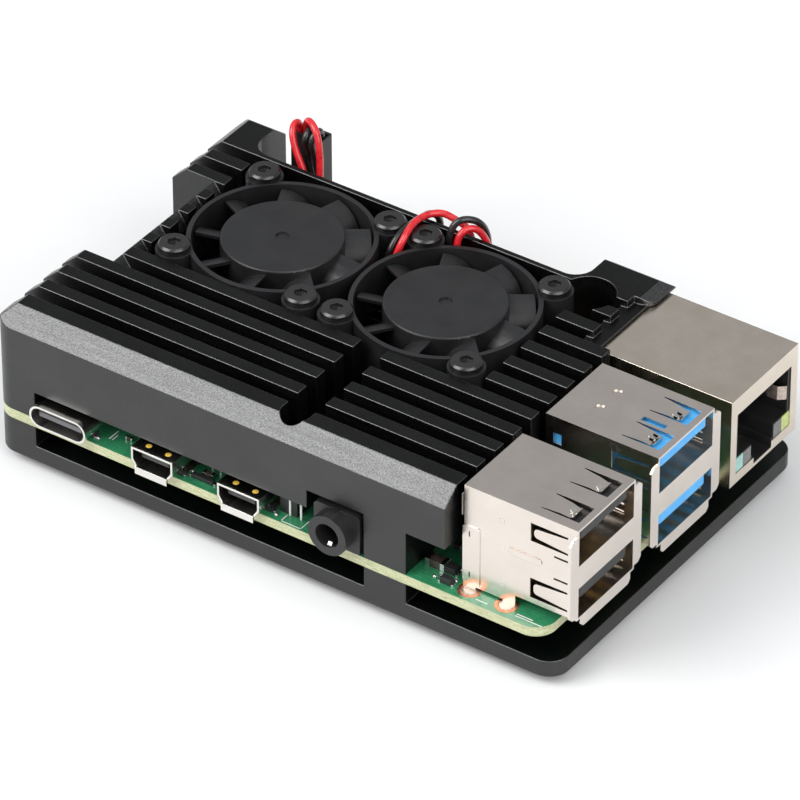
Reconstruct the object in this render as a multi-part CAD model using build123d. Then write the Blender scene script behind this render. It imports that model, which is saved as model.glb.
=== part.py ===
from build123d import *
from math import acos, pi, tan
import os

# Single board computer in a milled heat-sink case with two 25 mm fans.
# Everything is drawn in board coordinates (mm) and moved once, at export:
#   X 0 = short edge with the card slot, X 85 = short edge with the USB and network sockets
#   Y 0 = long edge with the power, video and audio sockets, Y 56 = long edge with the pin header
#   Z 0 = top face of the circuit board

# ---------------------------------------------------------------- board
BOARD_LENGTH = 85.0
BOARD_WIDTH = 56.0
BOARD_THICK = 1.4
BOARD_CORNER = 3.0
HOLE_INSET = 3.5
HOLE_PITCH_X = 58.0
HOLE_PITCH_Y = 49.0
BOARD_HOLE_D = 2.75
BOARD_HOLES = [(HOLE_INSET + i * HOLE_PITCH_X, HOLE_INSET + j * HOLE_PITCH_Y) for i in (0, 1) for j in (0, 1)]

# ---------------------------------------------------------------- heat-sink block
BLOCK_TOP = 15.0
BLOCK_UNDER = 4.0
BLOCK_LENGTH = 70.35
BLOCK_REAR_LENGTH = 66.4
BLOCK_STEP_Y = 37.3
BLOCK_CORNER = 3.0
BLOCK_RAISED_UNDER = 6.5
FRONT_BEVEL = 2.7
LEFT_BEVEL = 2.45
BACK_BEVEL = 2.75
BEVEL_DROP = 2.25
WING_X = 68.8
WING_Y = 48.6
WING_CORNER = 2.0
LEDGE_X = 68.2
LEDGE_BOTTOM = 13.55
LEDGE_TOP = 13.95
FIN_PITCH = 4.0
SLOT_WIDTH = 1.98
FIRST_SLOT_Y = 5.1
SLOT_COUNT = 11
SLOT_FLOOR = 6.6
RUNOUT_LENGTH = 5.8
RUNOUT_SLOTS = range(3, 9)
PILLAR_X = 6.6
PILLAR_Y = 6.6
PILLAR_RIGHT_X0 = 58.05
PILLAR_RIGHT_X1 = 64.45
AUDIO_GAP_X0 = 49.4
AUDIO_GAP_X1 = 58.0
AUDIO_GAP_TOP = 6.75
AUDIO_GAP_DEPTH = 13.2
RIBBON_NOTCH_X = 6.95
RIBBON_NOTCH_Y0 = 17.05
RIBBON_NOTCH_Y1 = 39.2
PIN_GAP_X0 = 6.5
PIN_GAP_X1 = 58.8
PIN_GAP_Y = 47.9
PIN_GAP_CORNER = 2.75
CAMERA_SLOT_X = 45.25
CAMERA_SLOT_W = 4.1
CAMERA_SLOT_Y0 = 1.8
POCKET_X0 = 8.6
POCKET_X1 = 60.6
POCKET_Y0 = 21.1
POCKET_Y1 = 46.2
POCKET_FLOOR = 8.2
POE_HOLE_D = 7.2
POE_X = 61.2
POE_Y = 45.9
PAD_THICK = 0.5
TAP_DEPTH = 6.2
TAP_D = 2.56

# ---------------------------------------------------------------- base plate and case screws
BASE_LENGTH = 87.03
BASE_TOP = -4.5
BASE_BOTTOM = -6.94
BASE_CORNER = 3.0
BASE_HOLE_D = 2.9
CASE_SCREW_D = 2.5
CASE_SCREW_HEAD_D = 4.65
CASE_SCREW_HEAD_H = 1.5
CASE_SCREW_TIP = 5.6
CASE_SCREW_KEY = 1.5
CASE_SCREW_KEY_DEPTH = 0.8

# ---------------------------------------------------------------- fans
FAN_SIZE = 25.0
FAN_BOTTOM = 8.2
FAN_TOP = 15.2
FAN_Y = 33.65
FAN_X = {"left": 21.85, "right": 47.45}
FAN_HOLE = 10.0
EAR_R = 2.5
RING_BORE_R = 11.85
HUB_R = 8.15
HUB_TOP = 15.3
HUB_BOTTOM = 9.75
HUB_WALL = 0.7
HUB_ROOF = 0.8
DIMPLE_R = 0.9
DIMPLE_DEPTH = 0.25
BLADE_COUNT = 9
BLADE_TIP_R = 11.5
BLADE_THICK = 0.55
BLADE_TURN = -6.0
# upper face of a blade from its high edge to its low edge: offset across the blade, height
BLADE_LINE = [(2.4, 14.7), (0.9, 14.3), (-0.5, 13.5), (-1.5, 12.3), (-2.1, 10.5)]
MAGNET_IN_R = 6.55
MAGNET_BOTTOM = 10.1
MAGNET_TOP = 14.1
SHAFT_R = 0.75
SHAFT_BOTTOM = 9.2
BEARING_CLEARANCE = 0.03
BEARING_R = 1.5
BEARING_TOP = 13.5
TUBE_R = 2.2
FAN_PLATE_R = 8.0
FAN_PLATE_TOP = 8.9
FAN_STRUT_W = 1.6
FAN_STRUT_TOP = 9.2
DRIVE_BOARD_R = 6.9
DRIVE_BOARD_TOP = 9.3
STATOR_R = 5.75
STATOR_BOTTOM = 9.75
STATOR_TOP = 12.9
STATOR_SLOT_W = 1.5
STATOR_CORE_R = 3.7
FAN_SCREW_D = 2.0
FAN_SCREW_HEAD_D = 4.28
FAN_SCREW_HEAD_TOP = 16.2
FAN_SCREW_TIP = 5.0
FAN_SCREW_HOLE_D = 2.2
FAN_SCREW_TAP_D = 2.04
FAN_SCREW_KEY_D = 1.9
FAN_SCREW_KEY_DEPTH = 0.6
BOSS_R = 2.6

# ---------------------------------------------------------------- sockets on the long front edge
POWER_X = 11.2
POWER_W = 8.94
POWER_H = 3.26
POWER_L = 7.35
POWER_OUT = 1.28
POWER_WALL = 0.3
VIDEO_X = (26.0, 39.5)
VIDEO_W = 6.5
VIDEO_H = 3.0
VIDEO_L = 7.5
VIDEO_OUT = 1.03
VIDEO_WALL = 0.3
VIDEO_LIP = 0.8
AUDIO_X = 54.0
AUDIO_W = 7.0
AUDIO_H = 5.8
AUDIO_L = 12.0
AUDIO_OUT = 2.16
AUDIO_BARREL_R = 3.0
AUDIO_BORE_R = 1.75
AUDIO_AXIS_Z = 2.95
AUDIO_BORE_L = 11.0

# ---------------------------------------------------------------- sockets on the short end
USB_FRONT = 88.29
USB_REAR = 71.53
USB_W = 12.82
USB_TOP = 15.58
USB_FLOOR = 1.65
USB_WALL = 0.3
USB_Y = {"usb2": 9.0, "usb3": 27.0}
USB_LIP = 1.55
USB_LIP_T = 0.3
USB_LIP_Z = (2.2, 14.6)
USB_SKIRT_X = 79.1
USB_SKIRT_Z = 0.3
USB_SHELF = (6.5, 9.95)
USB_TONGUE_Z = ((4.35, 6.15), (13.35, 14.95))
USB_TONGUE_W = 10.9
USB_TONGUE_TIP = 87.85
USB_BLOCK_X = 77.6
USB_WING_X = (71.35, 73.9)
USB_WING_Z = (0.5, 9.6)
USB_WING_T = 0.15
SPRING_X = (81.35, 86.85)
SPRING_Z = ((2.45, 5.45), (11.2, 13.95))
# gap round a side spring: at its free end, beside its free end, beside its root
SPRING_SLOT = (0.5, 0.72, 0.28)
TAB_X = (81.85, 87.4)
TAB_TIP_X = 86.1
TAB_W = 3.5
TAB_Y = 3.15
USB3_DIMPLES = [(76.5, 25.3), (76.6, 29.2)]
USB3_DIMPLE_R = 0.75
USB3_DIMPLE_DEPTH = 0.16
USB3_TOP_WINDOW = (82.0, 85.5, 26.1, 26.95)
USB3_SIDE_WINDOW = (72.7, 73.9, 11.5, 13.1)
NET_FRONT = 88.1
NET_REAR = 66.85
NET_Y = 45.75
NET_W = 15.71
NET_TOP = 13.46
NET_WALL = 0.25
NET_MOUTH_W = 11.8
NET_MOUTH_Z0 = 3.75
NET_MOUTH_Z1 = 10.6
NET_MOUTH_DEPTH = 12.5
NET_LATCH_W = (5.2, 4.3)
NET_LATCH_Z = (1.7, 0.5)
NET_FRAME_HALF = 6.4
NET_FRAME_Z0 = 1.45
NET_LED_Y = (2.7, 6.35)
NET_LED_Z = (1.5, 3.65)
NET_LED_FRONT = 87.95
NET_CONTACTS = 8
NET_CONTACT_DROP = 2.5

# ---------------------------------------------------------------- headers and ribbon connectors
PIN_PITCH = 2.54
PIN_SIDE = 0.64
PIN_TOP = 8.5
POE_PIN_TOP = 7.9
PIN_BOTTOM = -3.0
HEADER_X = 32.5
HEADER_Y = 52.5
HEADER_COLUMNS = 20
HEADER_BODY_H = 2.54
RIBBON_BODY_W = 2.6
RIBBON_BODY_TOP = 3.7
RIBBON_LATCH_TOP = 5.5
RIBBON_TRAVEL = 1.0
CAMERA_Y = (1.95, 20.95)
CAMERA_LATCH_Y = (3.4, 20.2)
DISPLAY_X = 3.7
DISPLAY_Y = (17.35, 38.9)
DISPLAY_LATCH_Y = (18.1, 38.15)

# ---------------------------------------------------------------- memory card
SOCKET_X = (0.6, 14.2)
SOCKET_Y = 28.0
SOCKET_W = 13.4
SOCKET_H = 1.5
SOCKET_ROOF = 0.3
CARD_L = 15.0
CARD_W = 11.0
CARD_T = 0.7
CARD_TIP = -2.5
CARD_TOP = -1.95

# ---------------------------------------------------------------- fan plug and leads
PLUG_PINS_X = (10.91, 13.45)
PLUG_Y = 53.77
PLUG_SIDE = 2.52
PLUG_BOTTOM = 2.6
PLUG_TOP = 16.5
PLUG_CAVITY = (2.12, 1.7)
CRIMP = (2.0, 1.56)
CRIMP_BOTTOM = 2.9
CRIMP_TOP = 15.0
CRIMP_BORE = 0.7
LEAD_D = 0.96
GLAND_TOP = 11.0

# ---------------------------------------------------------------- origin: centre of the footprint, at the lowest face
LOWEST = BASE_BOTTOM - CASE_SCREW_HEAD_H
CENTRE_X = (CARD_TIP + USB_FRONT) / 2
CENTRE_Y = (BOARD_WIDTH - AUDIO_OUT) / 2
TO_ORIGIN = Pos(-CENTRE_X, -CENTRE_Y, -LOWEST)


def block(x0, x1, y0, y1, z0, z1):
    """A box between two corners."""
    centre = Pos((x0 + x1) / 2, (y0 + y1) / 2, (z0 + z1) / 2)
    return centre * Box(x1 - x0, y1 - y0, z1 - z0)


def drum(x, y, r, z0, z1):
    """An upright cylinder between two heights."""
    return Pos(x, y, (z0 + z1) / 2) * Cylinder(r, z1 - z0)


def rounded(x0, x1, y0, y1, r, z0, z1):
    """A plate with four rounded corners."""
    outline = RectangleRounded(x1 - x0, y1 - y0, r)
    return Pos((x0 + x1) / 2, (y0 + y1) / 2, z0) * extrude(outline, z1 - z0)


def prism_x(points, x0, x1):
    """A solid with a constant Y-Z section, drawn as (y, z) points."""
    plane = Plane(origin=(x0, 0, 0), x_dir=(0, 1, 0), z_dir=(1, 0, 0))
    return extrude(plane * make_face(Polyline(*points, close=True)), x1 - x0)


def prism_y(points, y0, y1):
    """A solid with a constant X-Z section, drawn as (x, z) points."""
    plane = Plane(origin=(0, y0, 0), x_dir=(1, 0, 0), z_dir=(0, -1, 0))
    return extrude(plane * make_face(Polyline(*points, close=True)), -(y1 - y0))


def one(shape):
    """The single solid of a result."""
    solids = shape.solids()
    if len(solids) != 1:
        raise ValueError("expected one solid, got %d" % len(solids))
    return solids[0]


def group(shapes):
    """Several separate solids kept in one node."""
    return Compound(children=[one(s) for s in shapes])


NODES = {}


def save(name, shape):
    """Move a finished piece to the shared origin and write its file."""
    NODES[name] = TO_ORIGIN * shape
    export_step(NODES[name], "parts/%s.step" % name)


# ================================================================ circuit board and chips
def header_columns(count, centre_x, centre_y):
    """Centres of a two-row pin header."""
    first = centre_x - PIN_PITCH * (count - 1) / 2
    rows = (centre_y - PIN_PITCH / 2, centre_y + PIN_PITCH / 2)
    return [(first + PIN_PITCH * i, y) for i in range(count) for y in rows]


GPIO_PINS = header_columns(HEADER_COLUMNS, HEADER_X, HEADER_Y)
POE_PINS = header_columns(2, POE_X, POE_Y)
SHELL_LEG_X = {"usb2": (72.3, 78.2), "usb3": (72.3, 78.2)}
SHELL_LEG_W = 1.9
SHELL_LEG_BOTTOM = -2.2


def pin(x, y, z0, z1):
    return block(x - PIN_SIDE / 2, x + PIN_SIDE / 2, y - PIN_SIDE / 2, y + PIN_SIDE / 2, z0, z1)


def usb_legs(name, grow):
    """Solder legs of a socket shell, or the board slots for them when grown."""
    legs = []
    for x in SHELL_LEG_X[name]:
        for side in (-1, 1):
            y_out = USB_Y[name] + side * USB_W / 2
            y_in = y_out - side * USB_WALL
            y0 = min(y_out, y_in) - grow
            y1 = max(y_out, y_in) + grow
            half = SHELL_LEG_W / 2 + grow
            legs.append(block(x - half, x + half, y0, y1, SHELL_LEG_BOTTOM, USB_FLOOR + USB_WALL))
    return legs


board = rounded(0, BOARD_LENGTH, 0, BOARD_WIDTH, BOARD_CORNER, -BOARD_THICK, 0)
for hx, hy in BOARD_HOLES:
    board -= drum(hx, hy, BOARD_HOLE_D / 2, -BOARD_THICK - 1, 1)
board -= [pin(x, y, -BOARD_THICK - 1, 1) for x, y in GPIO_PINS + POE_PINS]
for socket in USB_Y:
    board -= usb_legs(socket, 0.1)

# chip name: centre x, centre y, length x, length y, height
CHIPS = {
    "processor": (29.25, 32.5, 15.0, 15.0, 2.4),
    "memory_chip": (43.5, 31.5, 9.8, 14.2, 1.1),
    "usb_controller": (56.9, 34.0, 8.0, 8.0, 0.9),
    "ethernet_chip": (52.6, 43.6, 6.0, 6.0, 0.9),
    "power_chip": (12.4, 17.5, 6.0, 6.0, 0.9),
    "wireless_shield": (14.0, 38.0, 10.0, 12.0, 1.6),
}
HEATED = ("processor", "memory_chip", "usb_controller", "power_chip")
PAD_MARGIN = 0.6


def chip(name):
    x, y, lx, ly, h = CHIPS[name]
    body = block(x - lx / 2, x + lx / 2, y - ly / 2, y + ly / 2, 0, h)
    return chamfer(body.faces().sort_by(Axis.Z)[-1].edges(), 0.15)


# small parts on the board: centre x, centre y, length x, length y, height
SMALL_PARTS = [
    (19.4, 3.2, 1.0, 0.5, 0.5),
    (19.4, 5.0, 1.0, 0.5, 0.5),
    (21.0, 9.4, 2.9, 1.6, 1.1),
    (32.4, 2.6, 1.6, 0.8, 0.7),
    (32.4, 4.6, 1.6, 0.8, 0.7),
    (32.6, 7.2, 1.0, 0.5, 0.5),
    (35.2, 11.2, 2.0, 1.25, 0.9),
    (19.2, 12.4, 2.5, 2.0, 1.2),
    (48.0, 14.6, 1.0, 0.5, 0.5),
    (60.4, 9.2, 2.9, 1.6, 1.1),
    (66.6, 4.0, 2.9, 1.6, 1.1),
    (66.6, 8.4, 1.6, 0.8, 0.7),
    (66.8, 12.2, 3.5, 2.8, 1.9),
    (67.4, 20.0, 2.0, 1.25, 0.9),
    (66.0, 25.6, 3.2, 2.5, 1.0),
    (20.4, 21.6, 1.6, 0.8, 0.7),
    (20.4, 24.0, 1.6, 0.8, 0.7),
    (39.0, 45.6, 1.0, 0.5, 0.5),
    (35.4, 44.2, 1.0, 0.5, 0.5),
]
INDUCTORS = [(13.2, 10.9), (20.4, 16.4)]
INDUCTOR_SIDE = 3.6
INDUCTOR_H = 1.9
STATUS_LEDS = [(1.3, 8.0), (1.3, 11.5)]
LED_SIZE = (0.8, 1.6, 0.6)

# ================================================================ heat-sink block
outer = rounded(0, BLOCK_REAR_LENGTH + BLOCK_CORNER + 1, 0, BOARD_WIDTH, BLOCK_CORNER, BLOCK_UNDER, BLOCK_TOP)
body = outer & block(-1, BLOCK_REAR_LENGTH, -1, BOARD_WIDTH + 1, 0, BLOCK_TOP)
body += block(BLOCK_REAR_LENGTH - 1, BLOCK_LENGTH, 0, BLOCK_STEP_Y, BLOCK_UNDER, BLOCK_TOP)
for px0, px1 in ((0, PILLAR_X), (PILLAR_RIGHT_X0, PILLAR_RIGHT_X1)):
    for py0, py1 in ((0, PILLAR_Y), (BOARD_WIDTH - PILLAR_Y, BOARD_WIDTH)):
        body += block(px0, px1, py0, py1, 0, BLOCK_UNDER + 1)
CORNER_ROUND = rounded(0, BOARD_LENGTH, 0, BOARD_WIDTH, BLOCK_CORNER, -1, BLOCK_TOP + 1)
body &= CORNER_ROUND
body -= block(PILLAR_RIGHT_X1, BLOCK_LENGTH + 1, -1, BLOCK_STEP_Y, 0, BLOCK_RAISED_UNDER)
body -= block(AUDIO_GAP_X0, AUDIO_GAP_X1, -1, AUDIO_GAP_DEPTH, 0, AUDIO_GAP_TOP)
for i in range(SLOT_COUNT):
    slot_y = FIRST_SLOT_Y + i * FIN_PITCH
    body -= block(-1, BLOCK_LENGTH + 1, slot_y, slot_y + SLOT_WIDTH, SLOT_FLOOR, BLOCK_TOP + 1)
    if i in RUNOUT_SLOTS:
        ramp = [
            (RIBBON_NOTCH_X - 1, SLOT_FLOOR - 0.5),
            (RIBBON_NOTCH_X - 1, BLOCK_TOP),
            (RIBBON_NOTCH_X, BLOCK_TOP),
            (RIBBON_NOTCH_X + RUNOUT_LENGTH, SLOT_FLOOR),
            (RIBBON_NOTCH_X + RUNOUT_LENGTH, SLOT_FLOOR - 0.5),
        ]
        body += prism_y(ramp, slot_y - 0.1, slot_y + SLOT_WIDTH + 0.1)
wing_plan = rounded(WING_X - 12, WING_X, WING_Y, BOARD_WIDTH + 8, WING_CORNER, LEDGE_BOTTOM, BLOCK_TOP)
wing = wing_plan & block(BLOCK_REAR_LENGTH - 1, WING_X, WING_Y, BOARD_WIDTH, LEDGE_BOTTOM, BLOCK_TOP)
wing -= prism_y(
    [(WING_X - 1.6, BLOCK_TOP + 0.01), (WING_X + 0.01, BLOCK_TOP + 0.01), (WING_X + 0.01, LEDGE_BOTTOM + 0.5)],
    WING_Y - 1,
    BOARD_WIDTH + 1,
)
body += wing
body += block(BLOCK_REAR_LENGTH - 1, LEDGE_X, BLOCK_STEP_Y, WING_Y + 1, LEDGE_BOTTOM, LEDGE_TOP)
TOP_OVER = BLOCK_TOP + 1
BEVEL_RUN = 1 / BEVEL_DROP
body -= prism_x(
    [
        (-FRONT_BEVEL * BEVEL_RUN, BLOCK_TOP - BEVEL_DROP - 1),
        (FRONT_BEVEL * (1 + BEVEL_RUN), TOP_OVER),
        (-FRONT_BEVEL, TOP_OVER),
    ],
    -1,
    BLOCK_LENGTH + 1,
)
body -= prism_x(
    [
        (BOARD_WIDTH + BACK_BEVEL * BEVEL_RUN, BLOCK_TOP - BEVEL_DROP - 1),
        (BOARD_WIDTH - BACK_BEVEL * (1 + BEVEL_RUN), TOP_OVER),
        (BOARD_WIDTH + BACK_BEVEL, TOP_OVER),
    ],
    -1,
    BLOCK_LENGTH + 1,
)
body -= prism_y(
    [
        (-LEFT_BEVEL * BEVEL_RUN, BLOCK_TOP - BEVEL_DROP - 1),
        (LEFT_BEVEL * (1 + BEVEL_RUN), TOP_OVER),
        (-LEFT_BEVEL, TOP_OVER),
    ],
    -1,
    BOARD_WIDTH + 1,
)
# pocket for the two fans, with bosses for their screws standing in the air gap under them
body -= block(POCKET_X0, POCKET_X1, POCKET_Y0, POCKET_Y1, POCKET_FLOOR, BLOCK_TOP + 1)
FAN_SCREWS = {
    side: [(x + i * FAN_HOLE, FAN_Y + j * FAN_HOLE) for i in (-1, 1) for j in (-1, 1)] for side, x in FAN_X.items()
}
for spots in FAN_SCREWS.values():
    for sx, sy in spots:
        body += drum(sx, sy, BOSS_R, SLOT_FLOOR - 0.5, POCKET_FLOOR) & block(
            POCKET_X0, POCKET_X1, POCKET_Y0, POCKET_Y1, 0, POCKET_FLOOR
        )
# openings for the display ribbon, the pin header, the camera ribbon and the power header
body -= block(-1, RIBBON_NOTCH_X, RIBBON_NOTCH_Y0, RIBBON_NOTCH_Y1, 0, BLOCK_TOP + 1)
pin_gap = rounded(PIN_GAP_X0, PIN_GAP_X1, PIN_GAP_Y, BOARD_WIDTH + 8, PIN_GAP_CORNER, -1, BLOCK_TOP + 1)
body -= pin_gap
camera_cut = drum(CAMERA_SLOT_X, CAMERA_SLOT_Y0 + CAMERA_SLOT_W / 2, CAMERA_SLOT_W / 2, 0, BLOCK_TOP + 1)
camera_cut += block(
    CAMERA_SLOT_X - CAMERA_SLOT_W / 2,
    CAMERA_SLOT_X + CAMERA_SLOT_W / 2,
    CAMERA_SLOT_Y0 + CAMERA_SLOT_W / 2,
    POCKET_Y0 + 0.5,
    0,
    BLOCK_TOP + 1,
)
body -= camera_cut
body -= drum(POE_X, POE_Y, POE_HOLE_D / 2, -1, BLOCK_TOP + 1)
# pedestals reach down to the pads on the hot chips
for name in HEATED:
    x, y, lx, ly, h = CHIPS[name]
    body += block(x - lx / 2, x + lx / 2, y - ly / 2, y + ly / 2, h + PAD_THICK, BLOCK_UNDER + 0.5)
for hx, hy in BOARD_HOLES:
    body -= drum(hx, hy, TAP_D / 2, -1, TAP_DEPTH)
for spots in FAN_SCREWS.values():
    for sx, sy in spots:
        body -= drum(sx, sy, FAN_SCREW_TAP_D / 2, FAN_SCREW_TIP - 0.3, POCKET_FLOOR + 1)

# ================================================================ base plate
base = rounded(0, BASE_LENGTH, 0, BOARD_WIDTH, BASE_CORNER, BASE_BOTTOM, BASE_TOP)
posts = []
for px0, px1 in ((0, PILLAR_X), (PILLAR_RIGHT_X0, PILLAR_RIGHT_X1)):
    for py0, py1 in ((0, PILLAR_Y), (BOARD_WIDTH - PILLAR_Y, BOARD_WIDTH)):
        posts.append(block(px0, px1, py0, py1, BASE_TOP - 0.5, -BOARD_THICK))
base += posts
base &= rounded(0, BASE_LENGTH, 0, BOARD_WIDTH, BASE_CORNER, BASE_BOTTOM, 0)
for hx, hy in BOARD_HOLES:
    base -= drum(hx, hy, BASE_HOLE_D / 2, BASE_BOTTOM - 1, 0)


def case_screw(x, y):
    """Button-head screw whose head is also one foot of the case."""
    head = drum(x, y, CASE_SCREW_HEAD_D / 2, LOWEST, BASE_BOTTOM)
    head = fillet(head.edges().sort_by(Axis.Z)[0], CASE_SCREW_HEAD_H * 0.55)
    key = Pos(x, y, LOWEST) * extrude(RegularPolygon(CASE_SCREW_KEY / 2, 6), CASE_SCREW_KEY_DEPTH)
    return head + drum(x, y, CASE_SCREW_D / 2, BASE_BOTTOM - 0.2, CASE_SCREW_TIP) - key


# ================================================================ fans
GLANDS = {"left": (32.2, 35.75, 38.9, 40.3), "right": (39.3, 41.9, 44.2, 46.1)}


def fan_frame(side):
    """Round shroud with four screw ears, a back plate on struts and a bearing tube."""
    x = FAN_X[side]
    ring = drum(x, FAN_Y, FAN_SIZE / 2, FAN_BOTTOM, FAN_TOP)
    for sx, sy in FAN_SCREWS[side]:
        ring += drum(sx, sy, EAR_R, FAN_BOTTOM, FAN_TOP)
    gx0, gx1, gy0, gy1 = GLANDS[side]
    ring += block(gx0, gx1, gy0, gy1, FAN_BOTTOM, GLAND_TOP)
    ring -= drum(x, FAN_Y, RING_BORE_R, FAN_BOTTOM - 1, FAN_TOP + 1)
    for k in range(4):
        arm = block(0, RING_BORE_R + 0.3, -FAN_STRUT_W / 2, FAN_STRUT_W / 2, FAN_BOTTOM, FAN_STRUT_TOP)
        arm -= drum(0, 0, FAN_PLATE_R - 0.4, FAN_BOTTOM - 1, FAN_STRUT_TOP + 1)
        ring += Pos(x, FAN_Y, 0) * Rot(0, 0, 45 + 90 * k) * arm
    ring += drum(x, FAN_Y, FAN_PLATE_R, FAN_BOTTOM, FAN_PLATE_TOP)
    ring += drum(x, FAN_Y, TUBE_R, FAN_PLATE_TOP - 0.2, BEARING_TOP)
    ring -= drum(x, FAN_Y, BEARING_R, FAN_PLATE_TOP, FAN_TOP)
    for sx, sy in FAN_SCREWS[side]:
        ring -= drum(sx, sy, FAN_SCREW_HOLE_D / 2, FAN_BOTTOM - 1, FAN_TOP + 1)
    return ring


def impeller(x):
    """Cup hub with nine leaning blades."""
    hub = drum(0, 0, HUB_R, HUB_BOTTOM, HUB_TOP)
    hub = fillet(hub.edges().sort_by(Axis.Z)[-1], 0.35)
    under = [(across - 0.1, height - BLADE_THICK) for across, height in reversed(BLADE_LINE)]
    section = BLADE_LINE + under
    blade = prism_x(section, HUB_R - 1.2, BLADE_TIP_R + 1)
    blade &= drum(0, 0, BLADE_TIP_R, FAN_BOTTOM, FAN_TOP)
    blade -= drum(0, 0, HUB_R - 0.3, FAN_BOTTOM, FAN_TOP)
    for k in range(BLADE_COUNT):
        hub += Rot(0, 0, BLADE_TURN + 360 * k / BLADE_COUNT) * blade
    hub -= drum(0, 0, HUB_R - HUB_WALL, HUB_BOTTOM - 1, HUB_TOP - HUB_ROOF)
    hub -= drum(0, 0, DIMPLE_R, HUB_TOP - DIMPLE_DEPTH, HUB_TOP + 1)
    return Pos(x, FAN_Y, 0) * hub


def stator(x):
    """Wound core with four poles."""
    core = drum(0, 0, STATOR_R, STATOR_BOTTOM, STATOR_TOP)
    for k in range(4):
        cut = block(STATOR_CORE_R, STATOR_R + 1, -STATOR_SLOT_W / 2, STATOR_SLOT_W / 2, 0, BLOCK_TOP)
        core -= Rot(0, 0, 45 + 90 * k) * cut
    core -= drum(0, 0, TUBE_R, 0, BLOCK_TOP)
    return Pos(x, FAN_Y, 0) * core


def fan_screw(x, y):
    """Low round-head screw with a six-sided socket."""
    head = drum(x, y, FAN_SCREW_HEAD_D / 2, FAN_TOP, FAN_SCREW_HEAD_TOP)
    head = chamfer(head.edges().sort_by(Axis.Z)[-1], 0.3)
    key = Pos(x, y, FAN_SCREW_HEAD_TOP - FAN_SCREW_KEY_DEPTH) * extrude(
        RegularPolygon(FAN_SCREW_KEY_D / 2, 6), FAN_SCREW_KEY_DEPTH + 1
    )
    return head + drum(x, y, FAN_SCREW_D / 2, FAN_SCREW_TIP, FAN_TOP + 0.1) - key


# ================================================================ sockets on the front edge
def slot_tube(w, h, z0, inset, y0, y1):
    """A bar with a fully rounded section, its lowest line at z0."""
    plane = Plane(origin=(0, y0, z0 + h / 2), x_dir=(1, 0, 0), z_dir=(0, -1, 0))
    return extrude(plane * RectangleRounded(w - 2 * inset, h - 2 * inset, (h - 2 * inset) / 2 - 0.01), -(y1 - y0))


def power_shell():
    tube = slot_tube(POWER_W, POWER_H, 0, 0, -POWER_OUT, POWER_L - POWER_OUT)
    tube -= slot_tube(POWER_W, POWER_H, 0, POWER_WALL, -POWER_OUT - 1, POWER_L)
    return Pos(POWER_X, 0, 0) * tube


def power_insert():
    rear = slot_tube(POWER_W, POWER_H, 0, POWER_WALL, POWER_L - POWER_OUT - 2.2, POWER_L - POWER_OUT)
    mid = POWER_H / 2
    rear += block(-3.35, 3.35, -POWER_OUT + 0.7, POWER_L - POWER_OUT - 2, mid - 0.35, mid + 0.35)
    return Pos(POWER_X, 0, 0) * rear


VIDEO_SECTION = [(-3.25, 1.1), (-3.25, 3.0), (3.25, 3.0), (3.25, 1.1), (2.55, 0.0), (-2.55, 0.0)]
VIDEO_INNER = [(-2.95, 1.2), (-2.95, 2.7), (2.95, 2.7), (2.95, 1.2), (2.4, 0.3), (-2.4, 0.3)]


def video_shell(x):
    tube = prism_y(VIDEO_SECTION, -VIDEO_OUT, VIDEO_L - VIDEO_OUT)
    tube -= prism_y(VIDEO_INNER, -VIDEO_OUT - 1, VIDEO_L)
    tube += block(-2.5, 2.5, -VIDEO_OUT - 0.3, -VIDEO_OUT + 0.2, 0, VIDEO_WALL)
    tube += block(-2.5, 2.5, -VIDEO_OUT - 0.3, -VIDEO_OUT, -VIDEO_LIP, VIDEO_WALL)
    for side in (-1, 1):
        foot = block(0, 0.9, 1.2, 4.2, 0, 0.3)
        tube += Pos(side * (VIDEO_W / 2 + 0.15) - 0.45, 0, 0) * foot
        tube += block(
            side * VIDEO_W / 2 - 0.3 if side > 0 else -VIDEO_W / 2,
            side * VIDEO_W / 2 if side > 0 else -VIDEO_W / 2 + 0.3,
            1.2,
            4.2,
            0,
            1.3,
        )
    return Pos(x, 0, 0) * tube


def video_insert(x):
    rear = prism_y(VIDEO_INNER, VIDEO_L - VIDEO_OUT - 2.5, VIDEO_L - VIDEO_OUT)
    rear += block(-2.1, 2.1, -VIDEO_OUT + 0.8, VIDEO_L - VIDEO_OUT - 2, 1.35, 1.95)
    return Pos(x, 0, 0) * rear


def audio_housing():
    jack = block(-AUDIO_W / 2, AUDIO_W / 2, 0, AUDIO_L, 0, AUDIO_H)
    jack = chamfer(jack.edges().filter_by(Axis.Y).group_by(Axis.Z)[-1], 0.4)
    jack += Pos(0, -AUDIO_OUT / 2 + 0.25, AUDIO_AXIS_Z) * Rot(90, 0, 0) * Cylinder(AUDIO_BARREL_R - 0.1, AUDIO_OUT + 0.5)
    bore_mid = -AUDIO_OUT + AUDIO_BORE_L / 2
    jack -= Pos(0, bore_mid - 0.5, AUDIO_AXIS_Z) * Rot(90, 0, 0) * Cylinder(AUDIO_BORE_R, AUDIO_BORE_L + 1)
    return Pos(AUDIO_X, 0, 0) * jack


AUDIO_FEET = [(-1, 3.0), (-1, 8.6), (1, 8.0), (1, 11.0)]


def audio_foot(side, y):
    x = AUDIO_X + side * (AUDIO_W / 2 + 0.45)
    return block(x - 0.45, x + 0.45, y - 0.6, y + 0.6, 0, 0.25)


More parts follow.
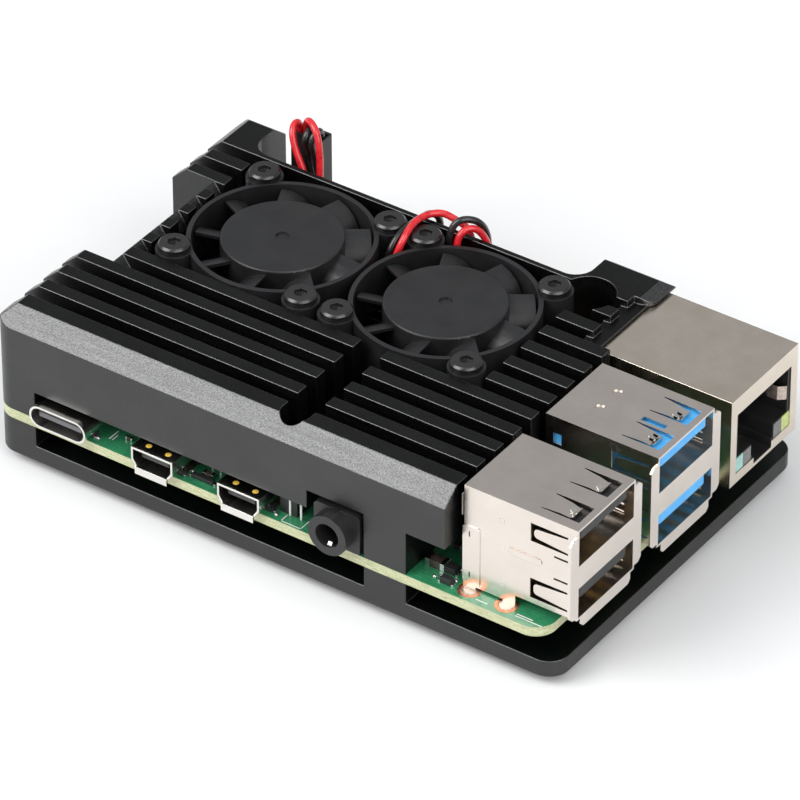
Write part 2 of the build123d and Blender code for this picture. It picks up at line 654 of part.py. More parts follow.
# ================================================================ sockets on the short end
def spring_slot(z0, z1):
    """U-shaped cut that frees one side spring, as a tall bar through the whole socket width."""
    x0, x1 = SPRING_X
    cut = block(x0, x1, -1, 1, z0, z1)
    x_free = x0 + SPRING_SLOT[0]
    leaf = prism_y(
        [
            (x_free, z0 + SPRING_SLOT[1]),
            (x_free, z1 - SPRING_SLOT[1]),
            (x1 + 0.1, z1 - SPRING_SLOT[2]),
            (x1 + 0.1, z0 + SPRING_SLOT[2]),
        ],
        -1,
        1,
    )
    leaf = fillet(leaf.edges().filter_by(Axis.Y).group_by(Axis.X)[0], 0.6)
    return cut - leaf


def top_tab(y):
    """Leaf of one top spring, bent down towards its free end."""
    x0 = TAB_X[0]
    t = USB_WALL
    profile = [
        (x0 - 0.3, USB_TOP),
        (x0 + 2.6, USB_TOP - 0.08),
        (TAB_TIP_X - 0.5, USB_TOP - 0.28),
        (TAB_TIP_X, USB_TOP - 0.1),
        (TAB_TIP_X, USB_TOP - 0.1 - t * 0.8),
        (TAB_TIP_X - 0.5, USB_TOP - 0.28 - t),
        (x0 + 2.6, USB_TOP - 0.08 - t),
        (x0 - 0.3, USB_TOP - t),
    ]
    base_half = TAB_W / 2 - 0.12
    tip_half = TAB_W / 2 - 0.62
    plan = [(x0 - 0.3, -base_half), (TAB_TIP_X, -tip_half), (TAB_TIP_X, tip_half), (x0 - 0.3, base_half)]
    leaf = prism_y(profile, -TAB_W, TAB_W) & extrude(Pos(0, 0, 0) * make_face(Polyline(*plan, close=True)), USB_TOP + 1)
    return Pos(0, y, 0) * leaf


def usb_shell(name):
    """Stacked double socket shell with bent lips, a shelf between the ports, springs and solder legs."""
    y = USB_Y[name]
    y0 = y - USB_W / 2
    y1 = y + USB_W / 2
    shell = block(USB_REAR, USB_FRONT, y0, y1, USB_FLOOR, USB_TOP)
    shell -= block(
        USB_REAR + USB_WALL, USB_FRONT + 1, y0 + USB_WALL, y1 - USB_WALL, USB_FLOOR + USB_WALL, USB_TOP - USB_WALL
    )
    low, high = USB_SHELF
    for z in (low, high - USB_WALL):
        shell += block(USB_BLOCK_X + 0.2, USB_FRONT, y0 + 0.1, y1 - 0.1, z, z + USB_WALL)
    shell += block(USB_FRONT - USB_WALL, USB_FRONT, y0 + 0.1, y1 - 0.1, low, high)
    for edge, side in ((y0, -1), (y1, 1)):
        skirt_in = edge - side * USB_WALL
        shell += block(
            USB_REAR, USB_SKIRT_X, min(edge, skirt_in), max(edge, skirt_in), USB_SKIRT_Z, USB_FLOOR + USB_WALL
        )
        wing_out = edge + side * USB_WING_T
        wing = block(*USB_WING_X, min(edge - side * 0.1, wing_out), max(edge - side * 0.1, wing_out), *USB_WING_Z)
        shell += fillet(wing.edges().filter_by(Axis.Y), 0.5)
        lip_out = edge + side * USB_LIP
        lip = block(
            USB_FRONT - USB_LIP_T, USB_FRONT, min(edge - side * 0.2, lip_out), max(edge - side * 0.2, lip_out), *USB_LIP_Z
        )
        ends = [e for e in lip.edges().filter_by(Axis.X) if abs(e.center().Y - lip_out) < 0.01]
        shell += chamfer(ends, 0.6)
    low_lip = block(USB_FRONT - USB_LIP_T, USB_FRONT, y0 + 1.0, y1 - 0.8, USB_FLOOR - USB_LIP, USB_FLOOR + 0.2)
    ends = [e for e in low_lip.edges().filter_by(Axis.X) if e.center().Z < USB_FLOOR]
    shell += chamfer(ends, 0.5)
    for leg in usb_legs(name, 0):
        shell += leg
    for z0, z1 in SPRING_Z:
        for edge in (y0, y1):
            shell -= Pos(0, edge, 0) * spring_slot(z0, z1)
    for z in (low + 0.15, high + 0.1):
        for edge in (y0, y1):
            shell -= block(84.8, 86.85, edge - 0.35, edge + 0.35, z, z + 0.3)
    for side in (-1, 1):
        yc = y + side * TAB_Y
        shell -= block(*TAB_X, yc - TAB_W / 2, yc + TAB_W / 2, USB_TOP - 0.5, USB_TOP + 1)
        shell += top_tab(yc)
    if name == "usb3":
        shell -= block(*USB3_TOP_WINDOW, USB_TOP - 0.5, USB_TOP + 1)
        x0, x1, z0, z1 = USB3_SIDE_WINDOW
        shell -= block(x0, x1, y0 - 0.35, y0 + 0.35, z0, z1)
        for dx, dy in USB3_DIMPLES:
            shell -= drum(dx, dy, USB3_DIMPLE_R, USB_TOP - USB3_DIMPLE_DEPTH, USB_TOP + 1)
    return shell


def usb_insulator(name):
    """Moulded rear block with the two contact tongues."""
    y = USB_Y[name]
    half = USB_W / 2 - USB_WALL - 0.05
    rear = block(USB_REAR + USB_WALL + 0.05, USB_BLOCK_X, y - half, y + half, USB_FLOOR + USB_WALL, USB_TOP - USB_WALL)
    for z0, z1 in USB_TONGUE_Z:
        tongue = block(USB_BLOCK_X - 0.5, USB_TONGUE_TIP, y - USB_TONGUE_W / 2, y + USB_TONGUE_W / 2, z0, z1)
        rear += fillet(tongue.edges().filter_by(Axis.Z).group_by(Axis.X)[-1], 0.6)
    return rear


def usb_contacts(name):
    """Four contact strips under each tongue."""
    strips = []
    for under, _ in USB_TONGUE_Z:
        for k in range(4):
            y = USB_Y[name] + (k - 1.5) * 2.3
            strips.append(block(USB_BLOCK_X, USB_TONGUE_TIP - 0.8, y - 0.5, y + 0.5, under - 0.25, under))
    return strips


def net_mouth(grow, x0, x1):
    """Socket mouth with the stepped latch notch below it."""
    half = NET_MOUTH_W / 2 + grow
    cut = block(x0, x1, NET_Y - half, NET_Y + half, NET_MOUTH_Z0 - grow, NET_MOUTH_Z1 + grow)
    for w, z in zip(NET_LATCH_W, NET_LATCH_Z):
        cut += block(x0, x1, NET_Y - w / 2 - grow, NET_Y + w / 2 + grow, z - grow, NET_MOUTH_Z0 + 1)
    return cut


def net_led(side, x0, x1, grow):
    ya = NET_Y + side * NET_LED_Y[0]
    yb = NET_Y + side * NET_LED_Y[1]
    return block(x0, x1, min(ya, yb) - grow, max(ya, yb) + grow, NET_LED_Z[0] - grow, NET_LED_Z[1] + grow)


net_y0 = NET_Y - NET_W / 2
net_y1 = NET_Y + NET_W / 2
net_shell = block(NET_REAR, NET_FRONT, net_y0, net_y1, 0, NET_TOP)
net_shell -= block(NET_REAR + NET_WALL, NET_FRONT - NET_WALL, net_y0 + NET_WALL, net_y1 - NET_WALL, -1, NET_TOP - NET_WALL)
net_shell -= block(
    NET_FRONT - 1, NET_FRONT + 1, NET_Y - NET_FRAME_HALF, NET_Y + NET_FRAME_HALF, NET_FRAME_Z0, NET_MOUTH_Z1 + 0.1
)
latch_half = NET_LATCH_W[1] / 2
net_shell -= block(
    NET_FRONT - 1, NET_FRONT + 1, NET_Y - latch_half, NET_Y + latch_half, NET_LATCH_Z[1], NET_FRAME_Z0 + 0.1
)
net_body = block(
    NET_REAR + NET_WALL, NET_FRONT - NET_WALL, net_y0 + NET_WALL, net_y1 - NET_WALL, 0, NET_TOP - NET_WALL
)
net_body -= net_mouth(0, NET_FRONT - NET_MOUTH_DEPTH, NET_FRONT + 1)
NET_LED_X0 = NET_FRONT - 8.0
for side in (-1, 1):
    net_body -= net_led(side, NET_LED_X0, NET_FRONT + 1, 0.02)
net_pipes = [net_led(side, NET_LED_X0 + 0.02, NET_LED_FRONT, 0) for side in (-1, 1)]
NET_CONTACT_PITCH = 1.02


def net_contact(k):
    """Spring wire running down from the roof of the mouth."""
    y = NET_Y + (k - (NET_CONTACTS - 1) / 2) * NET_CONTACT_PITCH
    x0 = NET_FRONT - NET_MOUTH_DEPTH
    roof = NET_MOUTH_Z1
    points = [
        (x0 + 10.2, roof),
        (x0 + 10.2, roof - 0.35),
        (x0 + 2.4, roof - NET_CONTACT_DROP),
        (x0 + 2.1, roof - NET_CONTACT_DROP + 0.2),
        (x0 + 9.6, roof),
    ]
    return prism_y(points, y - 0.22, y + 0.22)


# ================================================================ headers, ribbon connectors, memory card
gpio_body = block(
    HEADER_X - HEADER_COLUMNS * PIN_PITCH / 2,
    HEADER_X + HEADER_COLUMNS * PIN_PITCH / 2,
    HEADER_Y - PIN_PITCH,
    HEADER_Y + PIN_PITCH,
    0,
    HEADER_BODY_H,
)
gpio_body -= [pin(x, y, -1, HEADER_BODY_H + 1) for x, y in GPIO_PINS]
poe_body = block(POE_X - PIN_PITCH, POE_X + PIN_PITCH, POE_Y - PIN_PITCH, POE_Y + PIN_PITCH, 0, HEADER_BODY_H)
poe_body -= [pin(x, y, -1, HEADER_BODY_H + 1) for x, y in POE_PINS]


def ribbon_body(x, ys):
    """Ribbon connector housing with the slot the ribbon goes into."""
    half = RIBBON_BODY_W / 2
    housing = block(x - half, x + half, ys[0], ys[1], 0, RIBBON_BODY_TOP)
    housing -= block(x - 0.25, x + 0.25, ys[0] + 1.8, ys[1] - 1.8, 1.0, RIBBON_BODY_TOP + 1)
    return housing


def ribbon_latch(x, ys):
    """Sliding latch bar that clamps the ribbon when it is pushed down."""
    half = RIBBON_BODY_W / 2 - 0.15
    bar = block(x - half, x + half, ys[0], ys[1], RIBBON_BODY_TOP + 0.05, RIBBON_LATCH_TOP)
    bar -= block(x - 0.3, x + 0.3, ys[0] + 1.1, ys[1] - 1.1, RIBBON_BODY_TOP - 1, RIBBON_LATCH_TOP + 1)
    return bar


socket_y0 = SOCKET_Y - SOCKET_W / 2
socket_y1 = SOCKET_Y + SOCKET_W / 2
card_socket = block(SOCKET_X[0], SOCKET_X[1], socket_y0, socket_y1, -BOARD_THICK - SOCKET_H, -BOARD_THICK)
CARD_FIT = 0.15
card_socket -= block(
    SOCKET_X[0] - 1,
    CARD_TIP + CARD_L + CARD_FIT,
    SOCKET_Y - CARD_W / 2 - CARD_FIT,
    SOCKET_Y + CARD_W / 2 + CARD_FIT,
    CARD_TOP - CARD_T - 0.08,
    CARD_TOP + 0.08,
)
memory_card = block(
    CARD_TIP, CARD_TIP + CARD_L, SOCKET_Y - CARD_W / 2, SOCKET_Y + CARD_W / 2, CARD_TOP - CARD_T, CARD_TOP
)
memory_card = fillet(memory_card.edges().filter_by(Axis.Z), 0.8)
memory_card -= block(
    CARD_TIP + 8.0, CARD_TIP + CARD_L + 1, SOCKET_Y + CARD_W / 2 - 1.1, SOCKET_Y + CARD_W / 2 + 1, -BOARD_THICK - 5, 0
)

# ================================================================ fan plug and leads
plug_x0 = PLUG_PINS_X[0] - PLUG_SIDE / 2
plug_x1 = PLUG_PINS_X[1] + PLUG_SIDE / 2
plug = block(plug_x0, plug_x1, PLUG_Y - PLUG_SIDE / 2, PLUG_Y + PLUG_SIDE / 2, PLUG_BOTTOM, PLUG_TOP)
plug = chamfer(plug.edges().filter_by(Axis.Z), 0.15)
crimps = []
for cx in PLUG_PINS_X:
    plug -= block(
        cx - PLUG_CAVITY[0] / 2,
        cx + PLUG_CAVITY[0] / 2,
        PLUG_Y - PLUG_CAVITY[1] / 2,
        PLUG_Y + PLUG_CAVITY[1] / 2,
        PLUG_BOTTOM + 0.3,
        PLUG_TOP + 1,
    )
    plug -= block(
        cx - CRIMP_BORE / 2, cx + CRIMP_BORE / 2, PLUG_Y - CRIMP_BORE / 2, PLUG_Y + CRIMP_BORE / 2, 0, PLUG_TOP
    )
    crimp = block(
        cx - CRIMP[0] / 2, cx + CRIMP[0] / 2, PLUG_Y - CRIMP[1] / 2, PLUG_Y + CRIMP[1] / 2, CRIMP_BOTTOM, CRIMP_TOP
    )
    crimp -= block(
        cx - CRIMP_BORE / 2, cx + CRIMP_BORE / 2, PLUG_Y - CRIMP_BORE / 2, PLUG_Y + CRIMP_BORE / 2, 0, PIN_TOP + 0.3
    )
    crimps.append(crimp)

# Route of each lead: from the gland on its fan, over the thin rear fin, along the header gap,
# up in front of the plug, over in a loop and down onto its contact.
LEADS = {
    "fan_left_lead_red": [
        (35.2, 39.6, 11.0),
        (35.2, 39.6, 13.2),
        (35.9, 41.0, 16.4),
        (35.3, 44.0, 16.8),
        (35.6, 46.6, 16.65),
        (37.0, 48.2, 16.6),
        (38.9, 48.3, 16.2),
        (40.8, 48.8, 15.2),
        (41.4, 48.9, 12.2),
        (40.9, 48.7, 9.2),
        (38.4, 48.6, 7.4),
        (33.4, 48.65, 7.25),
        (25.8, 48.55, 7.4),
        (20.6, 48.65, 7.3),
        (17.6, 48.9, 8.1),
        (16.2, 49.7, 10.4),
        (15.9, 50.5, 13.2),
        (15.6, 50.9, 15.9),
        (15.0, 51.3, 18.3),
        (13.6, 52.1, 19.35),
        (12.0, 53.1, 18.8),
        (11.42, PLUG_Y, 16.8),
        (11.42, PLUG_Y, CRIMP_TOP),
    ],
    "fan_left_lead_black": [
        (34.0, 39.6, 11.0),
        (34.0, 39.6, 13.0),
        (34.5, 41.2, 15.6),
        (34.6, 43.6, 15.95),
        (34.75, 46.0, 15.95),
        (35.2, 48.3, 15.9),
        (35.6, 49.8, 14.2),
        (35.4, 49.9, 11.0),
        (33.8, 49.9, 8.0),
        (30.4, 49.85, 7.3),
        (26.0, 49.75, 7.45),
        (20.8, 49.85, 7.35),
        (17.6, 50.0, 8.5),
        (15.9, 50.9, 10.6),
        (14.6, 51.6, 12.9),
        (14.05, 51.6, 15.2),
        (13.96, 51.2, 16.8),
        (13.96, 51.98, 17.9),
        (13.96, 53.33, 17.75),
        (13.96, PLUG_Y, 16.35),
        (13.96, PLUG_Y, CRIMP_TOP),
    ],
    "fan_right_lead_red": [
        (41.2, 45.4, 11.0),
        (41.2, 45.4, 13.15),
        (41.15, 45.4, 15.6),
        (41.7, 46.5, 16.85),
        (42.8, 47.8, 16.6),
        (43.8, 48.9, 13.9),
        (44.2, 48.8, 10.4),
        (43.0, 48.7, 7.2),
        (39.6, 48.6, 6.0),
        (33.0, 48.55, 5.85),
        (24.6, 48.65, 6.0),
        (19.4, 48.6, 6.05),
        (16.4, 48.7, 6.5),
        (15.0, 49.0, 8.6),
        (14.2, 49.8, 11.2),
        (13.1, 50.3, 13.3),
        (11.9, 50.6, 15.3),
        (11.0, 51.1, 17.0),
        (10.5, 52.1, 18.0),
        (10.4, 53.4, 17.75),
        (10.4, PLUG_Y, 16.35),
        (10.4, PLUG_Y, CRIMP_TOP),
    ],
    "fan_right_lead_black": [
        (40.0, 45.4, 11.0),
        (40.0, 45.4, 13.4),
        (39.95, 45.4, 15.8),
        (40.3, 46.1, 17.4),
        (41.3, 47.1, 17.95),
        (42.6, 48.6, 17.1),
        (43.0, 49.9, 14.5),
        (43.0, 49.9, 11.0),
        (42.3, 49.9, 7.8),
        (39.6, 49.8, 6.1),
        (33.2, 49.75, 5.9),
        (25.0, 49.85, 6.05),
        (19.6, 49.8, 6.0),
        (17.1, 49.8, 7.0),
        (15.3, 50.4, 9.3),
        (13.9, 51.4, 11.4),
        (13.1, 51.85, 13.6),
        (12.95, 51.6, 15.8),
        (12.94, 51.2, 16.9),
        (12.94, 51.98, 17.9),
        (12.94, 53.33, 17.75),
        (12.94, PLUG_Y, 16.35),
        (12.94, PLUG_Y, CRIMP_TOP),
    ],
}
BEND_SHARE = 0.45


def lead(name):
    """A tube along straight runs joined by tangent arcs; prints its radii and length."""
    route = [Vector(*p) for p in LEADS[name]]
    radii = []
    for a, b, c in zip(route, route[1:], route[2:]):
        before = b - a
        after = c - b
        turn = acos(max(-1.0, min(1.0, before.dot(after) / (before.length * after.length))))
        radii.append(BEND_SHARE * min(before.length, after.length) / tan(turn / 2))
    path = FilletPolyline(*route, radius=radii)
    section = Plane(origin=path @ 0, z_dir=path % 0) * Circle(LEAD_D / 2)
    tube = sweep(section, path=path)
    ideal = pi * LEAD_D**2 / 4 * path.length
    print("%s length %.1f mm, volume / ideal %.4f" % (name, path.length, tube.volume / ideal))
    print("   radii " + " ".join("%.1f" % r for r in radii))
    return tube


# ================================================================ write the nodes
os.makedirs("parts", exist_ok=True)

save("top_block", one(body))
save("base_plate", one(base))
save("case_screws", group([case_screw(hx, hy) for hx, hy in BOARD_HOLES]))
save("circuit_board", one(board))
for name in CHIPS:
    save(name, one(chip(name)))
pads = []
for name in HEATED:
    x, y, lx, ly, h = CHIPS[name]
    mx = lx / 2 - PAD_MARGIN
    my = ly / 2 - PAD_MARGIN
    pads.append(block(x - mx, x + mx, y - my, y + my, h, h + PAD_THICK))
save("thermal_pads", group(pads))
save(
    "small_parts",
    group([block(x - lx / 2, x + lx / 2, y - ly / 2, y + ly / 2, 0, h) for x, y, lx, ly, h in SMALL_PARTS]),
)
half = INDUCTOR_SIDE / 2
save("inductors", group([block(x - half, x + half, y - half, y + half, 0, INDUCTOR_H) for x, y in INDUCTORS]))
save(
    "status_leds",
    group(
        [
            block(x - LED_SIZE[0] / 2, x + LED_SIZE[0] / 2, y - LED_SIZE[1] / 2, y + LED_SIZE[1] / 2, 0, LED_SIZE[2])
            for x, y in STATUS_LEDS
        ]
    ),
)
for side, x in FAN_X.items():
    save("fan_%s_frame" % side, one(fan_frame(side)))
    save("fan_%s_impeller" % side, one(impeller(x)))
    magnet = drum(x, FAN_Y, HUB_R - HUB_WALL, MAGNET_BOTTOM, MAGNET_TOP) - drum(x, FAN_Y, MAGNET_IN_R, 0, BLOCK_TOP)
    save("fan_%s_magnet" % side, one(magnet))
    save("fan_%s_shaft" % side, one(drum(x, FAN_Y, SHAFT_R, SHAFT_BOTTOM, HUB_TOP - HUB_ROOF)))
    sleeve = drum(x, FAN_Y, BEARING_R, FAN_PLATE_TOP, BEARING_TOP)
    sleeve -= drum(x, FAN_Y, SHAFT_R + BEARING_CLEARANCE, SHAFT_BOTTOM - 0.1, BLOCK_TOP)
    save("fan_%s_bearing" % side, one(sleeve))
    save("fan_%s_stator" % side, one(stator(x)))
    drive = drum(x, FAN_Y, DRIVE_BOARD_R, FAN_PLATE_TOP, DRIVE_BOARD_TOP) - drum(x, FAN_Y, TUBE_R, 0, BLOCK_TOP)
    save("fan_%s_drive_board" % side, one(drive))
save("fan_screws", group([fan_screw(sx, sy) for spots in FAN_SCREWS.values() for sx, sy in spots]))
save("usb_c_shell", one(power_shell()))
save("usb_c_insert", one(power_insert()))
save("hdmi_shells", group([video_shell(x) for x in VIDEO_X]))
save("hdmi_inserts", group([video_insert(x) for x in VIDEO_X]))
save("audio_jack", one(audio_housing()))
save("audio_contacts", group([audio_foot(side, y) for side, y in AUDIO_FEET]))
for name in USB_Y:
    save("%s_shell" % name, one(usb_shell(name)))
    save("%s_insulator" % name, one(usb_insulator(name)))
    save("%s_contacts" % name, group(usb_contacts(name)))
save("ethernet_shell", one(net_shell))
save("ethernet_body", one(net_body))
save("ethernet_light_pipes", group(net_pipes))
save("ethernet_contacts", group([net_contact(k) for k in range(NET_CONTACTS)]))
save("gpio_header_body", one(gpio_body))
pins = [pin(x, y, PIN_BOTTOM, PIN_TOP) for x, y in GPIO_PINS]
pins += [pin(x, y, PIN_BOTTOM, POE_PIN_TOP) for x, y in POE_PINS]
save("header_pins", group(pins))
save("poe_header_body", one(poe_body))
save("camera_connector", one(ribbon_body(CAMERA_SLOT_X, CAMERA_Y)))
save("camera_latch", one(ribbon_latch(CAMERA_SLOT_X, CAMERA_LATCH_Y)))
save("display_connector", one(ribbon_body(DISPLAY_X, DISPLAY_Y)))
save("display_latch", one(ribbon_latch(DISPLAY_X, DISPLAY_LATCH_Y)))
save("card_socket", one(card_socket))
save("memory_card", one(memory_card))
save("fan_plug", one(plug))
save("fan_plug_contacts", group(crimps))
for name in LEADS:
    save(name, one(lead(name)))
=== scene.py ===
import math

import bmesh
import bpy
from mathutils import Matrix, Vector


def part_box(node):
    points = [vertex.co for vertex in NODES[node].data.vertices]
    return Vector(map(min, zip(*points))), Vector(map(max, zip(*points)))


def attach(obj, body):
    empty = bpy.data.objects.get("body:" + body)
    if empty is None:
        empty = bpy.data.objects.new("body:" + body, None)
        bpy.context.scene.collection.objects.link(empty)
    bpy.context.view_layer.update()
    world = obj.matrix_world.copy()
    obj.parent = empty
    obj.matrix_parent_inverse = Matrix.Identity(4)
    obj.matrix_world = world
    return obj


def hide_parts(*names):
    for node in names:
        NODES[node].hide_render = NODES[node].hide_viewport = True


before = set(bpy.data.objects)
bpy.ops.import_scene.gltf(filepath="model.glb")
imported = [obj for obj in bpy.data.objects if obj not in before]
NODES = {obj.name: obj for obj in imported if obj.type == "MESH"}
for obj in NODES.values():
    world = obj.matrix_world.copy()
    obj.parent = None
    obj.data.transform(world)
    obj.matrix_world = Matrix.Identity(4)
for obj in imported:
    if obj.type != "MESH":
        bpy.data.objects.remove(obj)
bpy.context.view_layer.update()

# Single board computer in a finned heat-sink case with two small fans.
# Places are given in millimetres in the board's own coordinates: X 0 is the card end, Y 0 the long
# edge with the power socket, Z 0 the top of the circuit board.
MM = 0.001
NET_Y = 45.75
NET_LAMP_EDGE = 4.6
board_low, board_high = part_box("circuit_board")
BOARD_ZERO = Vector((board_low.x, board_low.y, board_high.z))


def at(x, y, z):
    return BOARD_ZERO + Vector((x, y, z)) * MM


def link(obj):
    bpy.context.scene.collection.objects.link(obj)
    return obj


# ---------------------------------------------------------------- camera
def make_camera(azimuth, elevation, roll, distance, target, lens):
    a, e, r = (math.radians(v) for v in (azimuth, elevation, roll))
    back = Vector((math.sin(a) * math.cos(e), -math.cos(a) * math.cos(e), math.sin(e)))
    level = Vector((0, 0, 1)).cross(back).normalized()
    rise = back.cross(level)
    right = level * math.cos(r) + rise * math.sin(r)
    up = rise * math.cos(r) - level * math.sin(r)
    data = bpy.data.cameras.new("camera")
    data.lens = lens
    data.sensor_width = 36
    data.clip_start = 0.05
    data.clip_end = 20
    camera = link(bpy.data.objects.new("camera", data))
    turn = Matrix((right, up, back)).transposed().to_4x4()
    camera.matrix_world = Matrix.Translation(target + back * distance) @ turn
    bpy.context.scene.camera = camera


make_camera(
    azimuth=34.78,
    elevation=36.379,
    roll=-0.109,
    distance=0.883,
    target=at(44.171, 28.088, 1.592),
    lens=309.37,
)

# ---------------------------------------------------------------- fan leads
PLUG_Y = 53.77
CRIMP_TOP = 15.0
LEAD_D = 0.96
LEADS = {
    "fan_left_lead_red": (65.3, [
        (35.2, 39.6, 11.0), (35.2, 39.6, 13.2), (35.9, 41.0, 16.4), (35.3, 44.0, 16.8),
        (35.6, 46.6, 16.65), (37.0, 48.2, 16.6), (38.9, 48.3, 16.2), (40.8, 48.8, 15.2),
        (41.4, 48.9, 12.2), (40.9, 48.7, 9.2), (38.4, 48.6, 7.4), (33.4, 48.65, 7.25),
        (25.8, 48.55, 7.4), (20.6, 48.65, 7.3), (17.6, 48.9, 8.1), (16.2, 49.7, 10.4),
        (15.9, 50.5, 13.2), (15.6, 50.9, 15.9), (15.0, 51.3, 18.3), (13.6, 52.1, 19.35),
        (12.0, 53.1, 18.8), (11.42, PLUG_Y, 16.8), (11.42, PLUG_Y, CRIMP_TOP),
    ]),
    "fan_left_lead_black": (51.6, [
        (34.0, 39.6, 11.0), (34.0, 39.6, 13.0), (34.5, 41.2, 15.6), (34.6, 43.6, 15.95),
        (34.75, 46.0, 15.95), (35.2, 48.3, 15.9), (35.6, 49.8, 14.2), (35.4, 49.9, 11.0),
        (33.8, 49.9, 8.0), (30.4, 49.85, 7.3), (26.0, 49.75, 7.45), (20.8, 49.85, 7.35),
        (17.6, 50.0, 8.5), (15.9, 50.9, 10.6), (14.6, 51.6, 12.9), (14.05, 51.6, 15.2),
        (13.96, 51.2, 16.8), (13.96, 51.98, 17.9), (13.96, 53.33, 17.75), (13.96, PLUG_Y, 16.35),
        (13.96, PLUG_Y, CRIMP_TOP),
    ]),
    "fan_right_lead_red": (61.6, [
        (41.2, 45.4, 11.0), (41.2, 45.4, 13.15), (41.15, 45.4, 15.6), (41.7, 46.5, 16.85),
        (42.8, 47.8, 16.6), (43.8, 48.9, 13.9), (44.2, 48.8, 10.4), (43.0, 48.7, 7.2),
        (39.6, 48.6, 6.0), (33.0, 48.55, 5.85), (24.6, 48.65, 6.0), (19.4, 48.6, 6.05),
        (16.4, 48.7, 6.5), (15.0, 49.0, 8.6), (14.2, 49.8, 11.2), (13.1, 50.3, 13.3),
        (11.9, 50.6, 15.3), (11.0, 51.1, 17.0), (10.5, 52.1, 18.0), (10.4, 53.4, 17.75),
        (10.4, PLUG_Y, 16.35), (10.4, PLUG_Y, CRIMP_TOP),
    ]),
    "fan_right_lead_black": (61.7, [
        (40.0, 45.4, 11.0), (40.0, 45.4, 13.4), (39.95, 45.4, 15.8), (40.3, 46.1, 17.4),
        (41.3, 47.1, 17.95), (42.6, 48.6, 17.1), (43.0, 49.9, 14.5), (43.0, 49.9, 11.0),
        (42.3, 49.9, 7.8), (39.6, 49.8, 6.1), (33.2, 49.75, 5.9), (25.0, 49.85, 6.05),
        (19.6, 49.8, 6.0), (17.1, 49.8, 7.0), (15.3, 50.4, 9.3), (13.9, 51.4, 11.4),
        (13.1, 51.85, 13.6), (12.95, 51.6, 15.8), (12.94, 51.2, 16.9), (12.94, 51.98, 17.9),
        (12.94, 53.33, 17.75), (12.94, PLUG_Y, 16.35), (12.94, PLUG_Y, CRIMP_TOP),
    ]),
}


def make_lead(name, length, route):
    data = bpy.data.curves.new(name + "_wire", "CURVE")
    data.dimensions = "3D"
    # the thickness is kept in each point's radius, in metres, so the bevel depth stays 1
    data.bevel_depth = 1.0
    data.bevel_resolution = 6
    data.resolution_u = 16
    data.use_fill_caps = True
    spline = data.splines.new("NURBS")
    spline.points.add(len(route) - 1)
    for point, place in zip(spline.points, route):
        point.co = (*at(*place), 1)
        point.radius = LEAD_D / 2 * MM
    spline.order_u = 3
    spline.use_endpoint_u = True
    wire = link(bpy.data.objects.new(name + "_wire", data))
    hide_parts(name)
    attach(wire, "main")
    return wire


WIRES = {name: make_lead(name, *facts) for name, facts in LEADS.items()}


